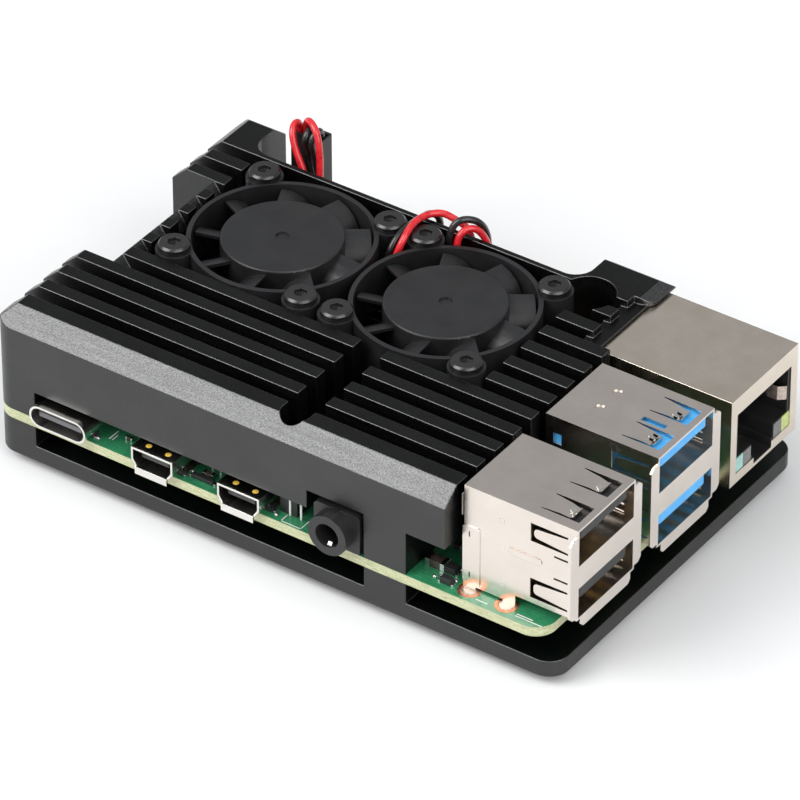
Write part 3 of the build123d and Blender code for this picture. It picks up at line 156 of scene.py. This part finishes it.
# ---------------------------------------------------------------- materials
class Finish:
    """A material whose colour, roughness and relief come from nodes."""

    def __init__(self, name, metallic=0.0, coat=0.0, coat_roughness=0.1, specular=0.5):
        self.material = bpy.data.materials.new(name)
        self.material.use_nodes = True
        self.tree = self.material.node_tree
        self.shader = self.tree.nodes["Principled BSDF"]
        self.shader.inputs["Metallic"].default_value = metallic
        self.shader.inputs["Coat Weight"].default_value = coat
        self.shader.inputs["Coat Roughness"].default_value = coat_roughness
        self.shader.inputs["Specular IOR Level"].default_value = specular
        self.place = self.add("ShaderNodeTexCoord").outputs["Object"]

    def add(self, kind, **settings):
        node = self.tree.nodes.new(kind)
        for key, value in settings.items():
            setattr(node, key, value)
        return node

    def join(self, source, target):
        self.tree.links.new(source, target)

    def set(self, node, **values):
        for key, value in values.items():
            socket = node.inputs[key.replace("_", " ")]
            if hasattr(value, "is_linked"):
                self.join(value, socket)
            else:
                socket.default_value = value

    def stretched(self, x, y, z):
        """The object's own place, in millimetres, stretched along an axis."""
        node = self.add("ShaderNodeVectorMath", operation="MULTIPLY")
        self.join(self.place, node.inputs[0])
        node.inputs[1].default_value = (x / MM, y / MM, z / MM)
        return node.outputs[0]

    def noise(self, per_mm, detail=3.0, rough=0.55, vector=None):
        node = self.add("ShaderNodeTexNoise")
        self.join(vector or self.stretched(1, 1, 1), node.inputs["Vector"])
        self.set(node, Scale=per_mm, Detail=detail, Roughness=rough)
        return node.outputs["Fac"]

    def spread(self, factor, low, high, start=0.3, stop=0.7):
        node = self.add("ShaderNodeMapRange")
        self.set(node, Value=factor, From_Min=start, From_Max=stop, To_Min=low, To_Max=high)
        return node.outputs["Result"]

    def ramp(self, factor, *stops):
        node = self.add("ShaderNodeValToRGB")
        self.join(factor, node.inputs["Fac"])
        marks = node.color_ramp.elements
        while len(marks) < len(stops):
            marks.new(0.5)
        for mark, (spot, colour) in zip(marks, stops):
            mark.position = spot
            mark.color = (*colour, 1)
        return node.outputs["Color"]

    def mix(self, factor, a, b):
        node = self.add("ShaderNodeMix", data_type="RGBA")
        self.join(factor, node.inputs[0])
        for socket, value in ((node.inputs[6], a), (node.inputs[7], b)):
            if hasattr(value, "is_linked"):
                self.join(value, socket)
            else:
                socket.default_value = (*value, 1)
        return node.outputs[2]

    def maths(self, operation, a, b=0.0, c=0.0):
        node = self.add("ShaderNodeMath", operation=operation)
        for socket, value in zip(node.inputs, (a, b, c)):
            if hasattr(value, "is_linked"):
                self.join(value, socket)
            else:
                socket.default_value = value
        return node.outputs[0]

    def lean(self):
        """How far the surface faces up or down: 1 on level faces, 0 on upright ones."""
        split = self.add("ShaderNodeSeparateXYZ")
        self.join(self.add("ShaderNodeTexCoord").outputs["Normal"], split.inputs[0])
        return self.maths("ABSOLUTE", split.outputs[2])

    def level(self, least=0.95):
        """1 on level faces and 0 on all others."""
        return self.maths("GREATER_THAN", self.lean(), least)

    def sloped(self):
        """1 on faces that lean between level and upright, and 0 on level and upright ones."""
        lean = self.lean()
        off_upright = self.maths("GREATER_THAN", lean, 0.3)
        return self.maths("MULTIPLY", off_upright, self.maths("LESS_THAN", lean, 0.95))

    def colour(self, value):
        self.join(value, self.shader.inputs["Base Color"])

    def roughness(self, value):
        self.join(value, self.shader.inputs["Roughness"])

    def bump(self, height, depth_mm, strength=1.0):
        node = self.add("ShaderNodeBump")
        self.set(node, Strength=strength, Distance=depth_mm * MM, Height=height)
        self.join(node.outputs["Normal"], self.shader.inputs["Normal"])


def mottled(name, dark, light, rough, grain_mm, relief_mm, cloud_mm=6.0, **shader):
    """The common build-up: cloudy tone over the whole piece, fine grain in roughness and relief."""
    f = Finish(name, **shader)
    cloud = f.noise(1 / cloud_mm, 4.0)
    grain = f.noise(1 / grain_mm, 2.0)
    tone = f.maths("MULTIPLY_ADD", grain, 0.35, f.maths("MULTIPLY", cloud, 0.65))
    f.colour(f.ramp(tone, (0.32, dark), (0.68, light)))
    f.roughness(f.spread(tone, rough[0], rough[1]))
    f.bump(grain, relief_mm)
    return f


def greys(low, high, shade):
    """Two stops of a grey ramp, both scaled by a shade."""
    return (0.36, (low * shade,) * 3), (0.64, (high * shade,) * 3)


def anodised(name, shade, rough):
    """Bead-blasted aluminium under black: a dark metal with fine sparkle and a few faint rubs. Its
    grey
    is painted by facing: darkest on level faces as painted shade, lighter on upright faces as
    painted light, and brightest on sloped faces and broken edges as a painted highlight of the key
    light."""
    f = Finish(name, metallic=1.0)
    grain = f.noise(4.2, 2.0, 0.7)
    cloud = f.noise(0.09, 5.0, 0.6)
    rub = f.noise(1.0, 3.0, 0.5, f.stretched(0.08, 1.2, 1.2))
    tone = f.maths("MULTIPLY_ADD", grain, 0.55, f.maths("MULTIPLY", cloud, 0.45))
    slope = f.sloped()
    # the three greys below are copies of one grey lit differently: the upright grey is painted
    # light, the level grey painted shade, and the brightest grey on sloped faces and broken edges a
    # painted highlight
    upright = f.ramp(tone, *greys(0.066, 0.084, shade))
    level = f.ramp(tone, *greys(0.026, 0.042, shade))
    slope_painted_highlight = f.ramp(grain, *greys(0.085, 0.152, shade))
    f.colour(f.mix(slope, f.mix(f.level(), upright, level), slope_painted_highlight))
    f.roughness(f.maths("ADD", f.spread(grain, rough[0], rough[1]), f.spread(rub, -0.03, 0.05)))
    f.bump(f.maths("MULTIPLY", grain, f.maths("MULTIPLY_ADD", slope, 0.8, 0.2)), 0.06, 0.8)
    return f.material


def plated(name, dark, light, rough, along):
    """Tin-plated sheet: faint rolling along one axis, soft stains and a few handling marks."""
    f = Finish(name, metallic=1.0)
    roll = f.noise(1.0, 4.0, 0.6, f.stretched(*along))
    stain = f.noise(0.22, 5.0, 0.62)
    fine = f.noise(6.0, 2.0, 0.5)
    tone = f.maths("MULTIPLY_ADD", roll, 0.12, f.maths("MULTIPLY", stain, 0.88))
    f.colour(f.ramp(tone, (0.3, dark), (0.7, light)))
    f.roughness(f.maths("ADD", f.spread(stain, rough[0], rough[1]), f.spread(fine, -0.02, 0.02)))
    f.bump(f.maths("ADD", f.maths("MULTIPLY", stain, 2.0), fine), 0.006, 0.5)
    return f.material


def board_mask():
    """Green solder mask with buried tracks on the two faces, and bare glass laminate at the edge."""
    f = Finish("board_mask", coat=0.6, coat_roughness=0.12)
    mm = f.stretched(1, 1, 1)
    bricks = f.add("ShaderNodeTexBrick", offset=0.5, squash=1.4, squash_frequency=3)
    f.join(mm, bricks.inputs["Vector"])
    f.set(bricks, Scale=0.62, Mortar_Size=0.045, Mortar_Smooth=0.05)
    f.set(bricks, Bias=0.0, Brick_Width=2.3, Row_Height=0.36)
    tracks = bricks.outputs["Fac"]
    cells = f.add("ShaderNodeTexVoronoi", feature="DISTANCE_TO_EDGE")
    f.join(mm, cells.inputs["Vector"])
    f.set(cells, Scale=0.33)
    pours = f.maths("LESS_THAN", cells.outputs["Distance"], 0.09)
    cloud = f.noise(0.15, 3.0)
    green = f.ramp(cloud, (0.35, (0.026, 0.21, 0.09)), (0.65, (0.04, 0.27, 0.12)))
    green = f.mix(f.maths("MULTIPLY", tracks, 0.3), green, (0.06, 0.38, 0.18))
    green = f.mix(f.maths("MULTIPLY", pours, 0.25), green, (0.015, 0.14, 0.06))
    layers = f.noise(1.0, 2.0, 0.5, f.stretched(0.6, 0.6, 9.0))
    weave = f.noise(3.5, 2.0)
    laminate = f.ramp(
        f.maths("MULTIPLY_ADD", layers, 0.7, f.maths("MULTIPLY", weave, 0.3)),
        (0.35, (0.36, 0.38, 0.19)),
        (0.5, (0.5, 0.52, 0.29)),
        (0.65, (0.64, 0.65, 0.42)),
    )
    f.colour(f.mix(f.level(0.7), laminate, green))
    f.roughness(f.spread(weave, 0.26, 0.4))
    f.bump(f.maths("MULTIPLY_ADD", tracks, 1.0, weave), 0.02, 0.5)
    return f.material


def lead_skin(name, dark, light):
    f = Finish(name, coat=0.5, coat_roughness=0.08)
    print_marks = f.noise(1.4, 3.0)
    f.colour(f.ramp(print_marks, (0.35, dark), (0.65, light)))
    f.roughness(f.spread(print_marks, 0.24, 0.38))
    f.bump(f.noise(5.0, 2.0), 0.02, 0.4)
    return f.material


def light_pipe():
    """Tinted lens at the outer half only: teal on the low side, yellow-green on the other."""
    f = Finish("light_pipe", coat=0.5)
    split = f.add("ShaderNodeSeparateXYZ")
    f.join(f.place, split.inputs[0])
    middle, outer = at(0, NET_Y, 0).y, NET_LAMP_EDGE * MM
    side = f.maths("GREATER_THAN", split.outputs[1], middle)
    off_centre = f.maths("ABSOLUTE", f.maths("SUBTRACT", split.outputs[1], middle))
    lit = f.maths("GREATER_THAN", off_centre, outer)
    milk = f.noise(2.5, 3.0)
    teal = f.ramp(milk, (0.3, (0.24, 0.5, 0.46)), (0.7, (0.36, 0.62, 0.58)))
    lime = f.ramp(milk, (0.3, (0.44, 0.52, 0.12)), (0.7, (0.6, 0.66, 0.22)))
    grey = f.ramp(milk, (0.3, (0.1, 0.1, 0.1)), (0.7, (0.16, 0.16, 0.155)))
    f.colour(f.mix(lit, grey, f.mix(side, teal, lime)))
    f.roughness(f.spread(milk, 0.14, 0.26))
    f.bump(f.noise(5.0, 2.0), 0.01, 0.4)
    return f.material


def gilt(name, dark, light, rough):
    f = Finish(name, metallic=1.0)
    wear = f.noise(2.2, 3.0)
    f.colour(f.ramp(wear, (0.35, dark), (0.65, light)))
    f.roughness(f.spread(wear, rough[0], rough[1]))
    f.bump(f.noise(8.0, 2.0), 0.008, 0.4)
    return f.material


BLACK_BLOCK = anodised("black_anodised_block", 1.0, (0.30, 0.40))
BLACK_BASE = anodised("black_anodised_base", 0.9, (0.32, 0.42))
BLACK_SCREW = mottled(
    "black_oxide_screw", (0.006, 0.006, 0.006), (0.016, 0.015, 0.015),
    (0.18, 0.3), 0.2, 0.02, specular=0.8,
).material
FAN_PLASTIC = mottled(
    "fan_plastic", (0.010, 0.010, 0.011), (0.021, 0.021, 0.022),
    (0.32, 0.44), 0.12, 0.02, cloud_mm=4.0,
).material
MAGNET = mottled(
    "bonded_magnet", (0.05, 0.048, 0.046), (0.1, 0.098, 0.095), (0.55, 0.75), 0.15, 0.03
).material
COIL = mottled(
    "copper_winding", (0.35, 0.12, 0.05), (0.7, 0.3, 0.14), (0.25, 0.45), 0.1, 0.04, metallic=1.0
).material
BRONZE = gilt("bearing_bronze", (0.4, 0.26, 0.12), (0.6, 0.42, 0.22), (0.3, 0.5))
STEEL = gilt("polished_steel", (0.5, 0.5, 0.5), (0.66, 0.66, 0.67), (0.14, 0.24))
GOLD = gilt("gold_flash", (0.74, 0.48, 0.16), (0.95, 0.7, 0.3), (0.16, 0.3))
TIN = gilt("bright_solder", (0.62, 0.62, 0.62), (0.86, 0.86, 0.84), (0.14, 0.3))
COPPER_PAD = gilt("copper_pad", (0.42, 0.19, 0.1), (0.66, 0.36, 0.22), (0.42, 0.56))
SHELL = plated(
    "plated_shell", (0.745, 0.675, 0.61), (0.825, 0.755, 0.695), (0.19, 0.27), (0.1, 3.5, 3.5)
)
SHELL_NET = plated(
    "plated_network_shell", (0.74, 0.66, 0.55), (0.84, 0.755, 0.66), (0.19, 0.27), (0.12, 2.6, 2.6)
)
SHELL_SMALL = plated(
    "plated_small_shell", (0.72, 0.7, 0.66), (0.88, 0.86, 0.82), (0.14, 0.26), (3.0, 0.15, 3.0)
)
LID = plated("chip_lid", (0.5, 0.5, 0.5), (0.66, 0.66, 0.66), (0.25, 0.4), (0.3, 3.0, 3.0))
CHIP = mottled(
    "moulded_chip", (0.011, 0.011, 0.012), (0.028, 0.028, 0.029), (0.42, 0.6), 0.08, 0.02
).material
BLACK_NYLON = mottled(
    "black_nylon", (0.010, 0.010, 0.011), (0.024, 0.024, 0.025),
    (0.34, 0.5), 0.14, 0.02, cloud_mm=3.0,
).material
BLUE_NYLON = mottled(
    "blue_nylon", (0.055, 0.38, 0.86), (0.1, 0.5, 0.94), (0.3, 0.42), 0.14, 0.015, cloud_mm=3.0
).material
IVORY_NYLON = mottled(
    "ivory_nylon", (0.55, 0.5, 0.4), (0.72, 0.68, 0.57), (0.36, 0.5), 0.16, 0.015
).material
CERAMIC = mottled(
    "ceramic_parts", (0.025, 0.02, 0.018), (0.09, 0.07, 0.055), (0.3, 0.5), 0.3, 0.02, cloud_mm=1.2
).material
PAD = mottled("thermal_pad", (0.3, 0.33, 0.36), (0.42, 0.45, 0.48), (0.6, 0.8), 0.2, 0.04).material
LED = mottled(
    "status_lens", (0.5, 0.62, 0.4), (0.7, 0.8, 0.55), (0.12, 0.25), 0.2, 0.01, coat=0.5
).material
BOARD = board_mask()
PIPE = light_pipe()
GREY_NYLON = mottled(
    "grey_nylon", (0.09, 0.09, 0.095), (0.16, 0.16, 0.165), (0.3, 0.4), 0.14, 0.01
).material
RING_TIN = gilt("ring_tin", (0.55, 0.45, 0.39), (0.74, 0.64, 0.57), (0.42, 0.56))
SPOT_GOLD = mottled(
    "spot_gold", (0.62, 0.36, 0.04), (0.9, 0.6, 0.12), (0.2, 0.3), 0.2, 0.01, cloud_mm=0.8
).material
PRINT = mottled(
    "board_print", (0.72, 0.74, 0.7), (0.88, 0.9, 0.86), (0.5, 0.7), 0.15, 0.01, cloud_mm=1.5
).material
RED_SKIN = lead_skin("red_lead_skin", (0.6, 0.010, 0.018), (0.8, 0.024, 0.032))
BLACK_SKIN = lead_skin("black_lead_skin", (0.006, 0.006, 0.006), (0.016, 0.016, 0.016))

FINISHES = {
    "top_block": BLACK_BLOCK,
    "base_plate": BLACK_BASE,
    "case_screws": BLACK_SCREW,
    "fan_screws": BLACK_SCREW,
    "circuit_board": BOARD,
    "memory_chip": CHIP,
    "usb_controller": CHIP,
    "ethernet_chip": CHIP,
    "power_chip": CHIP,
    "inductors": CHIP,
    "processor": LID,
    "wireless_shield": LID,
    "usb_c_shell": SHELL_SMALL,
    "hdmi_shells": SHELL_SMALL,
    "usb2_shell": SHELL,
    "usb3_shell": SHELL,
    "ethernet_shell": SHELL_NET,
    "audio_contacts": TIN,
    "thermal_pads": PAD,
    "small_parts": CERAMIC,
    "status_leds": LED,
    "ethernet_light_pipes": PIPE,
    "usb_c_insert": GREY_NYLON,
    "hdmi_inserts": BLACK_NYLON,
    "audio_jack": BLACK_NYLON,
    "usb2_insulator": BLACK_NYLON,
    "usb3_insulator": BLUE_NYLON,
    "ethernet_body": BLACK_NYLON,
    "gpio_header_body": BLACK_NYLON,
    "poe_header_body": BLACK_NYLON,
    "fan_plug": BLACK_NYLON,
    "card_socket": LID,
    "memory_card": CHIP,
    "camera_latch": BLACK_NYLON,
    "display_latch": BLACK_NYLON,
    "camera_connector": BLACK_NYLON,
    "display_connector": IVORY_NYLON,
    "usb2_contacts": GOLD,
    "usb3_contacts": GOLD,
    "ethernet_contacts": GOLD,
    "header_pins": GOLD,
    "fan_plug_contacts": GOLD,
}
for side in ("left", "right"):
    FINISHES["fan_%s_frame" % side] = FAN_PLASTIC
    FINISHES["fan_%s_impeller" % side] = FAN_PLASTIC
    FINISHES["fan_%s_magnet" % side] = MAGNET
    FINISHES["fan_%s_shaft" % side] = STEEL
    FINISHES["fan_%s_bearing" % side] = BRONZE
    FINISHES["fan_%s_stator" % side] = COIL
    FINISHES["fan_%s_drive_board" % side] = BOARD
    for colour, skin in (("red", RED_SKIN), ("black", BLACK_SKIN)):
        name = "fan_%s_lead_%s" % (side, colour)
        FINISHES[name] = skin
        WIRES[name].data.materials.append(skin)
for name, finish in FINISHES.items():
    mesh = NODES[name].data
    mesh.materials.clear()
    mesh.materials.append(finish)

# ---------------------------------------------------------------- broken edges
EDGE_FROM = math.radians(25)
SAME_FACE = math.radians(0.6)
SAME_PLACE = 0.002
# width in millimetres of the small bevel that real edges have
EDGES = {
    "top_block": 0.15,
    "base_plate": 0.2,
    "case_screws": 0.08,
    "fan_left_frame": 0.16,
    "fan_right_frame": 0.16,
    "fan_left_impeller": 0.07,
    "fan_right_impeller": 0.07,
    "fan_screws": 0.08,
    "fan_plug": 0.1,
    "audio_jack": 0.16,
    "usb2_shell": 0.06,
    "usb3_shell": 0.06,
    "ethernet_shell": 0.08,
    "hdmi_shells": 0.06,
    "circuit_board": 0.05,
    "usb2_insulator": 0.1,
    "usb3_insulator": 0.1,
    "header_pins": 0.08,
    "small_parts": 0.05,
}
# the fins need their full bevel, which the short edges of round corners would hold back
UNCLAMPED = ("top_block",)


def soften(name, width):
    obj = NODES[name]
    weld = obj.modifiers.new("weld", "WELD")
    weld.merge_threshold = SAME_PLACE * MM
    flat = obj.modifiers.new("flat", "DECIMATE")
    flat.decimate_type = "DISSOLVE"
    flat.angle_limit = SAME_FACE
    bevel = obj.modifiers.new("edge", "BEVEL")
    bevel.width = width * MM
    bevel.segments = 2
    bevel.limit_method = "ANGLE"
    bevel.angle_limit = EDGE_FROM
    bevel.use_clamp_overlap = name not in UNCLAMPED
    even = obj.modifiers.new("normals", "WEIGHTED_NORMAL")
    even.weight = 100
    even.keep_sharp = False


for name, width in EDGES.items():
    soften(name, width)


# ---------------------------------------------------------------- small details
def mesh_piece(name, build, material, bevel=0.0):
    """A named piece fixed to the main body: build(b) fills a bmesh, in metres."""
    mesh = bpy.data.meshes.new(name)
    b = bmesh.new()
    build(b)
    bmesh.ops.recalc_face_normals(b, faces=b.faces)
    b.to_mesh(mesh)
    b.free()
    piece = link(bpy.data.objects.new(name, mesh))
    if bevel:
        edge = piece.modifiers.new("edge", "BEVEL")
        edge.width = bevel * MM
        edge.segments = 2
        edge.limit_method = "ANGLE"
    mesh.materials.append(material)
    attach(piece, "main")
    return piece


def prism(b, outline, depth, axis):
    """A closed prism: outline is a loop of places, pushed by depth millimetres along an axis."""
    push = Vector((0, 0, 0))
    push[axis] = depth * MM
    first = [b.verts.new(at(*p)) for p in outline]
    second = [b.verts.new(v.co + push) for v in first]
    b.faces.new(first)
    b.faces.new(reversed(second))
    for i in range(len(first)):
        j = (i + 1) % len(first)
        b.faces.new((first[i], second[i], second[j], first[j]))


def slab(b, x0, x1, y0, y1, z0, z1):
    prism(b, [(x0, y0, z0), (x1, y0, z0), (x1, y1, z0), (x0, y1, z0)], z1 - z0, 2)


def slabs(name, boxes, material, bevel=0.0):
    def build(b):
        for box in boxes:
            slab(b, *box)

    return mesh_piece(name, build, material, bevel)


def dome(b, x, y, z, radius, height, rings=4, sides=20, hole=0.0):
    """A low rounded button standing on a level face; with a hole it is a rounded ring."""
    middle = (radius + hole) / 2
    half = (radius - hole) / 2
    loops = []
    for k in range(rings * 2 + 1):
        turn = math.pi * k / (rings * 2)
        r = middle + half * math.cos(turn) if hole else radius * math.cos(turn / 2)
        up = height * math.sin(turn) if hole else height * math.sin(turn / 2)
        if r < radius * 0.02:
            loops.append([b.verts.new(at(x, y, z + up))])
            continue
        angles = [2 * math.pi * i / sides for i in range(sides)]
        places = [at(x + r * math.cos(a), y + r * math.sin(a), z + up) for a in angles]
        loops.append([b.verts.new(place) for place in places])
    for low, high in zip(loops, loops[1:]):
        for i in range(sides):
            j = (i + 1) % sides
            if len(high) == 1:
                b.faces.new((low[i], low[j], high[0]))
            else:
                b.faces.new((low[i], low[j], high[j], high[i]))
    if not hole:
        b.faces.new(list(reversed(loops[0])))
    else:
        for i in range(sides):
            j = (i + 1) % sides
            b.faces.new((loops[-1][i], loops[-1][j], loops[0][j], loops[0][i]))


# bright ends of the small soldered parts: centre x, centre y, length x, length y, height
SMALL_PARTS = [
    (19.4, 3.2, 1.0, 0.5, 0.5),
    (19.4, 5.0, 1.0, 0.5, 0.5),
    (21.0, 9.4, 2.9, 1.6, 1.1),
    (32.4, 2.6, 1.6, 0.8, 0.7),
    (32.4, 4.6, 1.6, 0.8, 0.7),
    (32.6, 7.2, 1.0, 0.5, 0.5),
    (60.4, 9.2, 2.9, 1.6, 1.1),
    (66.6, 4.0, 2.9, 1.6, 1.1),
    (66.6, 8.4, 1.6, 0.8, 0.7),
]
SKIN = 0.02
END_SHARE = 0.22
ends = []
for x, y, lx, ly, h in SMALL_PARTS:
    for way in (-1, 1):
        near = x + way * (lx / 2 + SKIN)
        far = x + way * lx * (0.5 - END_SHARE)
        x0, x1 = sorted((near, far))
        ends.append((x0, x1, y - ly / 2 - SKIN, y + ly / 2 + SKIN, 0.0, h + SKIN))
slabs("small_part_ends", ends, TIN, 0.05)

# three-legged and four-legged chips by the front edge: x0, x1, y0, y1, height
TINY_CHIPS = [
    (68.75, 70.35, 1.2, 2.15, 0.95),
    (68.0, 69.7, 3.2, 4.5, 1.0),
    (13.6, 15.4, 0.75, 2.0, 0.75),
    (28.2, 29.6, 0.7, 1.5, 0.6),
    (30.5, 33.9, 1.2, 1.9, 0.6),
    (41.6, 43.4, 1.0, 1.8, 0.6),
]
slabs("tiny_chips", [(x0, x1, y0, y1, 0.05, h) for x0, x1, y0, y1, h in TINY_CHIPS], CHIP, 0.07)
FOOT = 0.28
feet = []
for x0, x1, y0, y1, h in TINY_CHIPS:
    for y in (y0 + 0.12, y1 - 0.12 - FOOT):
        feet.append((x0 - 0.38, x0 + SKIN, y, y + FOOT, 0.0, 0.28))
        feet.append((x1 - SKIN, x1 + 0.38, y, y + FOOT, 0.0, 0.28))
slabs("chip_feet", feet, TIN, 0.06)

# solder spots along the front edge of the board
SOLDER = [
    (67.6, 1.9, 0.3),
    (68.31, 2.46, 0.32),
    (69.37, 2.43, 0.32),
    (70.3, 2.6, 0.3),
    (67.28, 4.6, 0.28),
    (69.6, 4.75, 0.28),
    (13.2, 2.2, 0.26),
    (15.9, 1.2, 0.3),
    (30.1, 2.3, 0.24),
    (34.3, 2.3, 0.26),
    (36.1, 1.3, 0.28),
    (44.0, 1.0, 0.3),
]


def solder_spots(b):
    for x, y, r in SOLDER:
        dome(b, x, y, 0.0, r, 0.3)


mesh_piece("solder_spots", solder_spots, TIN)

# gold test spots on the video sockets
VIDEO_SPOTS = [(24.64, 0.33), (27.75, 0.24), (38.27, 0.33), (41.36, 0.24)]


def video_spots(b):
    for x, y in VIDEO_SPOTS:
        dome(b, x, y, 3.0, 0.42, 0.05)


mesh_piece("video_socket_spots", video_spots, SPOT_GOLD)

# plated holes with their solder rings, beside the lower stacked socket
RINGS = [(72.7, 2.07), (78.2, 2.2)]


def copper_rings(b):
    for x, y in RINGS:
        dome(b, x, y, 0.0, 1.6, 0.03, sides=40, hole=1.02)


def ring_solder(b):
    for x, y in RINGS:
        dome(b, x, y, 0.0, 1.02, 0.09, sides=40)


mesh_piece("copper_rings", copper_rings, COPPER_PAD)
mesh_piece("ring_solder", ring_solder, RING_TIN)

# the pressed bar and the small marks in the side of the lower stacked socket
SIDE_Y = 2.59


def pressed_bar(b):
    x0, x1, z0, z1 = 78.14, 83.1, 7.8, 8.9
    r = (z1 - z0) / 2
    loop = []
    for centre, start in ((x1 - r, -90), (x0 + r, 90)):
        for k in range(9):
            turn = math.radians(start + 180 * k / 8)
            loop.append((centre + r * math.cos(turn), SIDE_Y, z0 + r + r * math.sin(turn)))
    prism(b, loop, -0.13, 1)


mesh_piece("pressed_bar", pressed_bar, SHELL, 0.1)
slabs(
    "pressed_marks",
    [
        (76.85, 77.5, SIDE_Y - 0.05, SIDE_Y, 12.05, 12.7),
        (76.85, 77.5, SIDE_Y - 0.05, SIDE_Y, 2.0, 2.65),
        (71.16, 71.36, SIDE_Y - 0.1, SIDE_Y + 0.3, 10.9, 14.1),
    ],
    SHELL,
    0.04,
)
# two thin black slabs stand for the cut notches in the wing plate: painted shade, since the notches
# are not cut into the sheet
slabs(
    "wing_cut_shade",
    [(72.3, 72.46, 2.4, 2.46, 8.0, 8.8), (72.3, 72.46, 2.4, 2.46, 1.7, 2.5)],
    BLACK_NYLON,
    0.02,
)

# curled free ends of the top springs
TIP_PLACES = [(85.9, 6.0), (85.9, 11.75), (85.5, 24.1), (85.5, 29.6)]
TIP_W = 1.0
TIP_LOW = 15.2
TIP_HIGH = 15.78
TIP_SHEET = 0.18


def curled_tips(b):
    for x, y in TIP_PLACES:
        upper = [(x - 0.75, TIP_HIGH), (x - 0.25, TIP_LOW), (x + 0.3, TIP_HIGH - 0.1)]
        lower = [(tx, tz - TIP_SHEET) for tx, tz in reversed(upper)]
        prism(b, [(tx, y - TIP_W / 2, tz) for tx, tz in upper + lower], TIP_W, 1)


mesh_piece("curled_tips", curled_tips, SHELL_SMALL, 0.07)

# end bars of the camera connector, and the printed outline round its front end
BAR_X = (45.54, 47.24)
BAR_HALF = 0.14
bars = [(x - BAR_HALF, x + BAR_HALF, 1.76, 1.96, 0.0, 2.6) for x in BAR_X]
slabs("camera_end_bars", bars, PRINT, 0.04)
LINE = 0.14
slabs(
    "printed_lines",
    [
        (45.12, 48.3, 0.24, 0.24 + LINE, 0.0, 0.02),
        (45.12, 45.12 + LINE, 0.24, 1.7, 0.0, 0.02),
        (48.3 - LINE, 48.3, 0.24, 2.2, 0.0, 0.02),
        (17.0, 17.2, 1.9, 3.9, 0.0, 0.02),
        (17.5, 17.65, 1.9, 3.1, 0.0, 0.02),
        (80.2, 84.2, 0.95, 0.95 + LINE, 0.0, 0.02),
        (80.2, 82.6, 1.35, 1.35 + LINE, 0.0, 0.02),
        (74.4, 76.1, 0.9, 0.9 + LINE, 0.0, 0.02),
    ],
    PRINT,
)


def earth_finger(b):
    """Sheet spring inside the network socket, on its far wall, bent in towards the plug."""
    profile = [(87.8, 51.5), (86.9, 50.75), (85.4, 50.7), (84.0, 51.5)]
    sheet = 0.14
    loop = [(x, y, 5.7) for x, y in profile] + [(x, y + sheet, 5.7) for x, y in reversed(profile)]
    prism(b, loop, 2.1, 2)


mesh_piece("earth_finger", earth_finger, RING_TIN, 0.04)


def jack_spring(b):
    """The bright rounded tip of the contact spring seen inside the audio socket."""
    x = 53.75
    profile = [(-1.8, 1.25), (-1.5, 1.7), (-1.1, 1.8), (-0.7, 1.6), (-0.4, 1.25)]
    prism(b, [(x, y, z) for y, z in profile], 0.7, 0)


mesh_piece("jack_spring", jack_spring, TIN, 0.06)


# ---------------------------------------------------------------- floor and light
FLOOR_HALF = 4


def make_floor():
    mesh = bpy.data.meshes.new("floor")
    b = bmesh.new()
    bmesh.ops.create_grid(b, x_segments=1, y_segments=1, size=FLOOR_HALF)
    b.to_mesh(mesh)
    b.free()
    floor = link(bpy.data.objects.new("floor", mesh))
    low, high = (0.90, 0.90, 0.90), (0.92, 0.92, 0.92)
    paint = mottled("floor_paint", low, high, (0.7, 0.9), 20.0, 0.0, cloud_mm=300.0)
    mesh.materials.append(paint.material)


def soft_light(name, direction, distance, width, height, power, colour=(1, 1, 1)):
    data = bpy.data.lights.new(name, "AREA")
    data.shape = "RECTANGLE"
    data.size = width
    data.size_y = height
    data.energy = power
    data.color = colour
    lamp = link(bpy.data.objects.new(name, data))
    back = Vector(direction).normalized()
    lamp.location = back * distance
    lamp.rotation_mode = "QUATERNION"
    lamp.rotation_quaternion = (-back).to_track_quat("-Z", "Y")


make_floor()
soft_light("key", (-0.46, -0.58, 0.67), 1.1, 0.75, 0.75, 9.0)
soft_light("roof", (0.25, -0.12, 1.0), 1.5, 1.6, 1.6, 4.0)
soft_light("fill", (0.75, -0.3, 0.56), 1.3, 1.1, 1.1, 9.0)
world = bpy.data.worlds.new("studio")
bpy.context.scene.world = world
world.use_nodes = True
sky = world.node_tree.nodes["Background"]
sky.inputs["Color"].default_value = (0.95, 0.97, 1.0, 1)
sky.inputs["Strength"].default_value = 0.43
bpy.context.scene.view_settings.view_transform = "Standard"
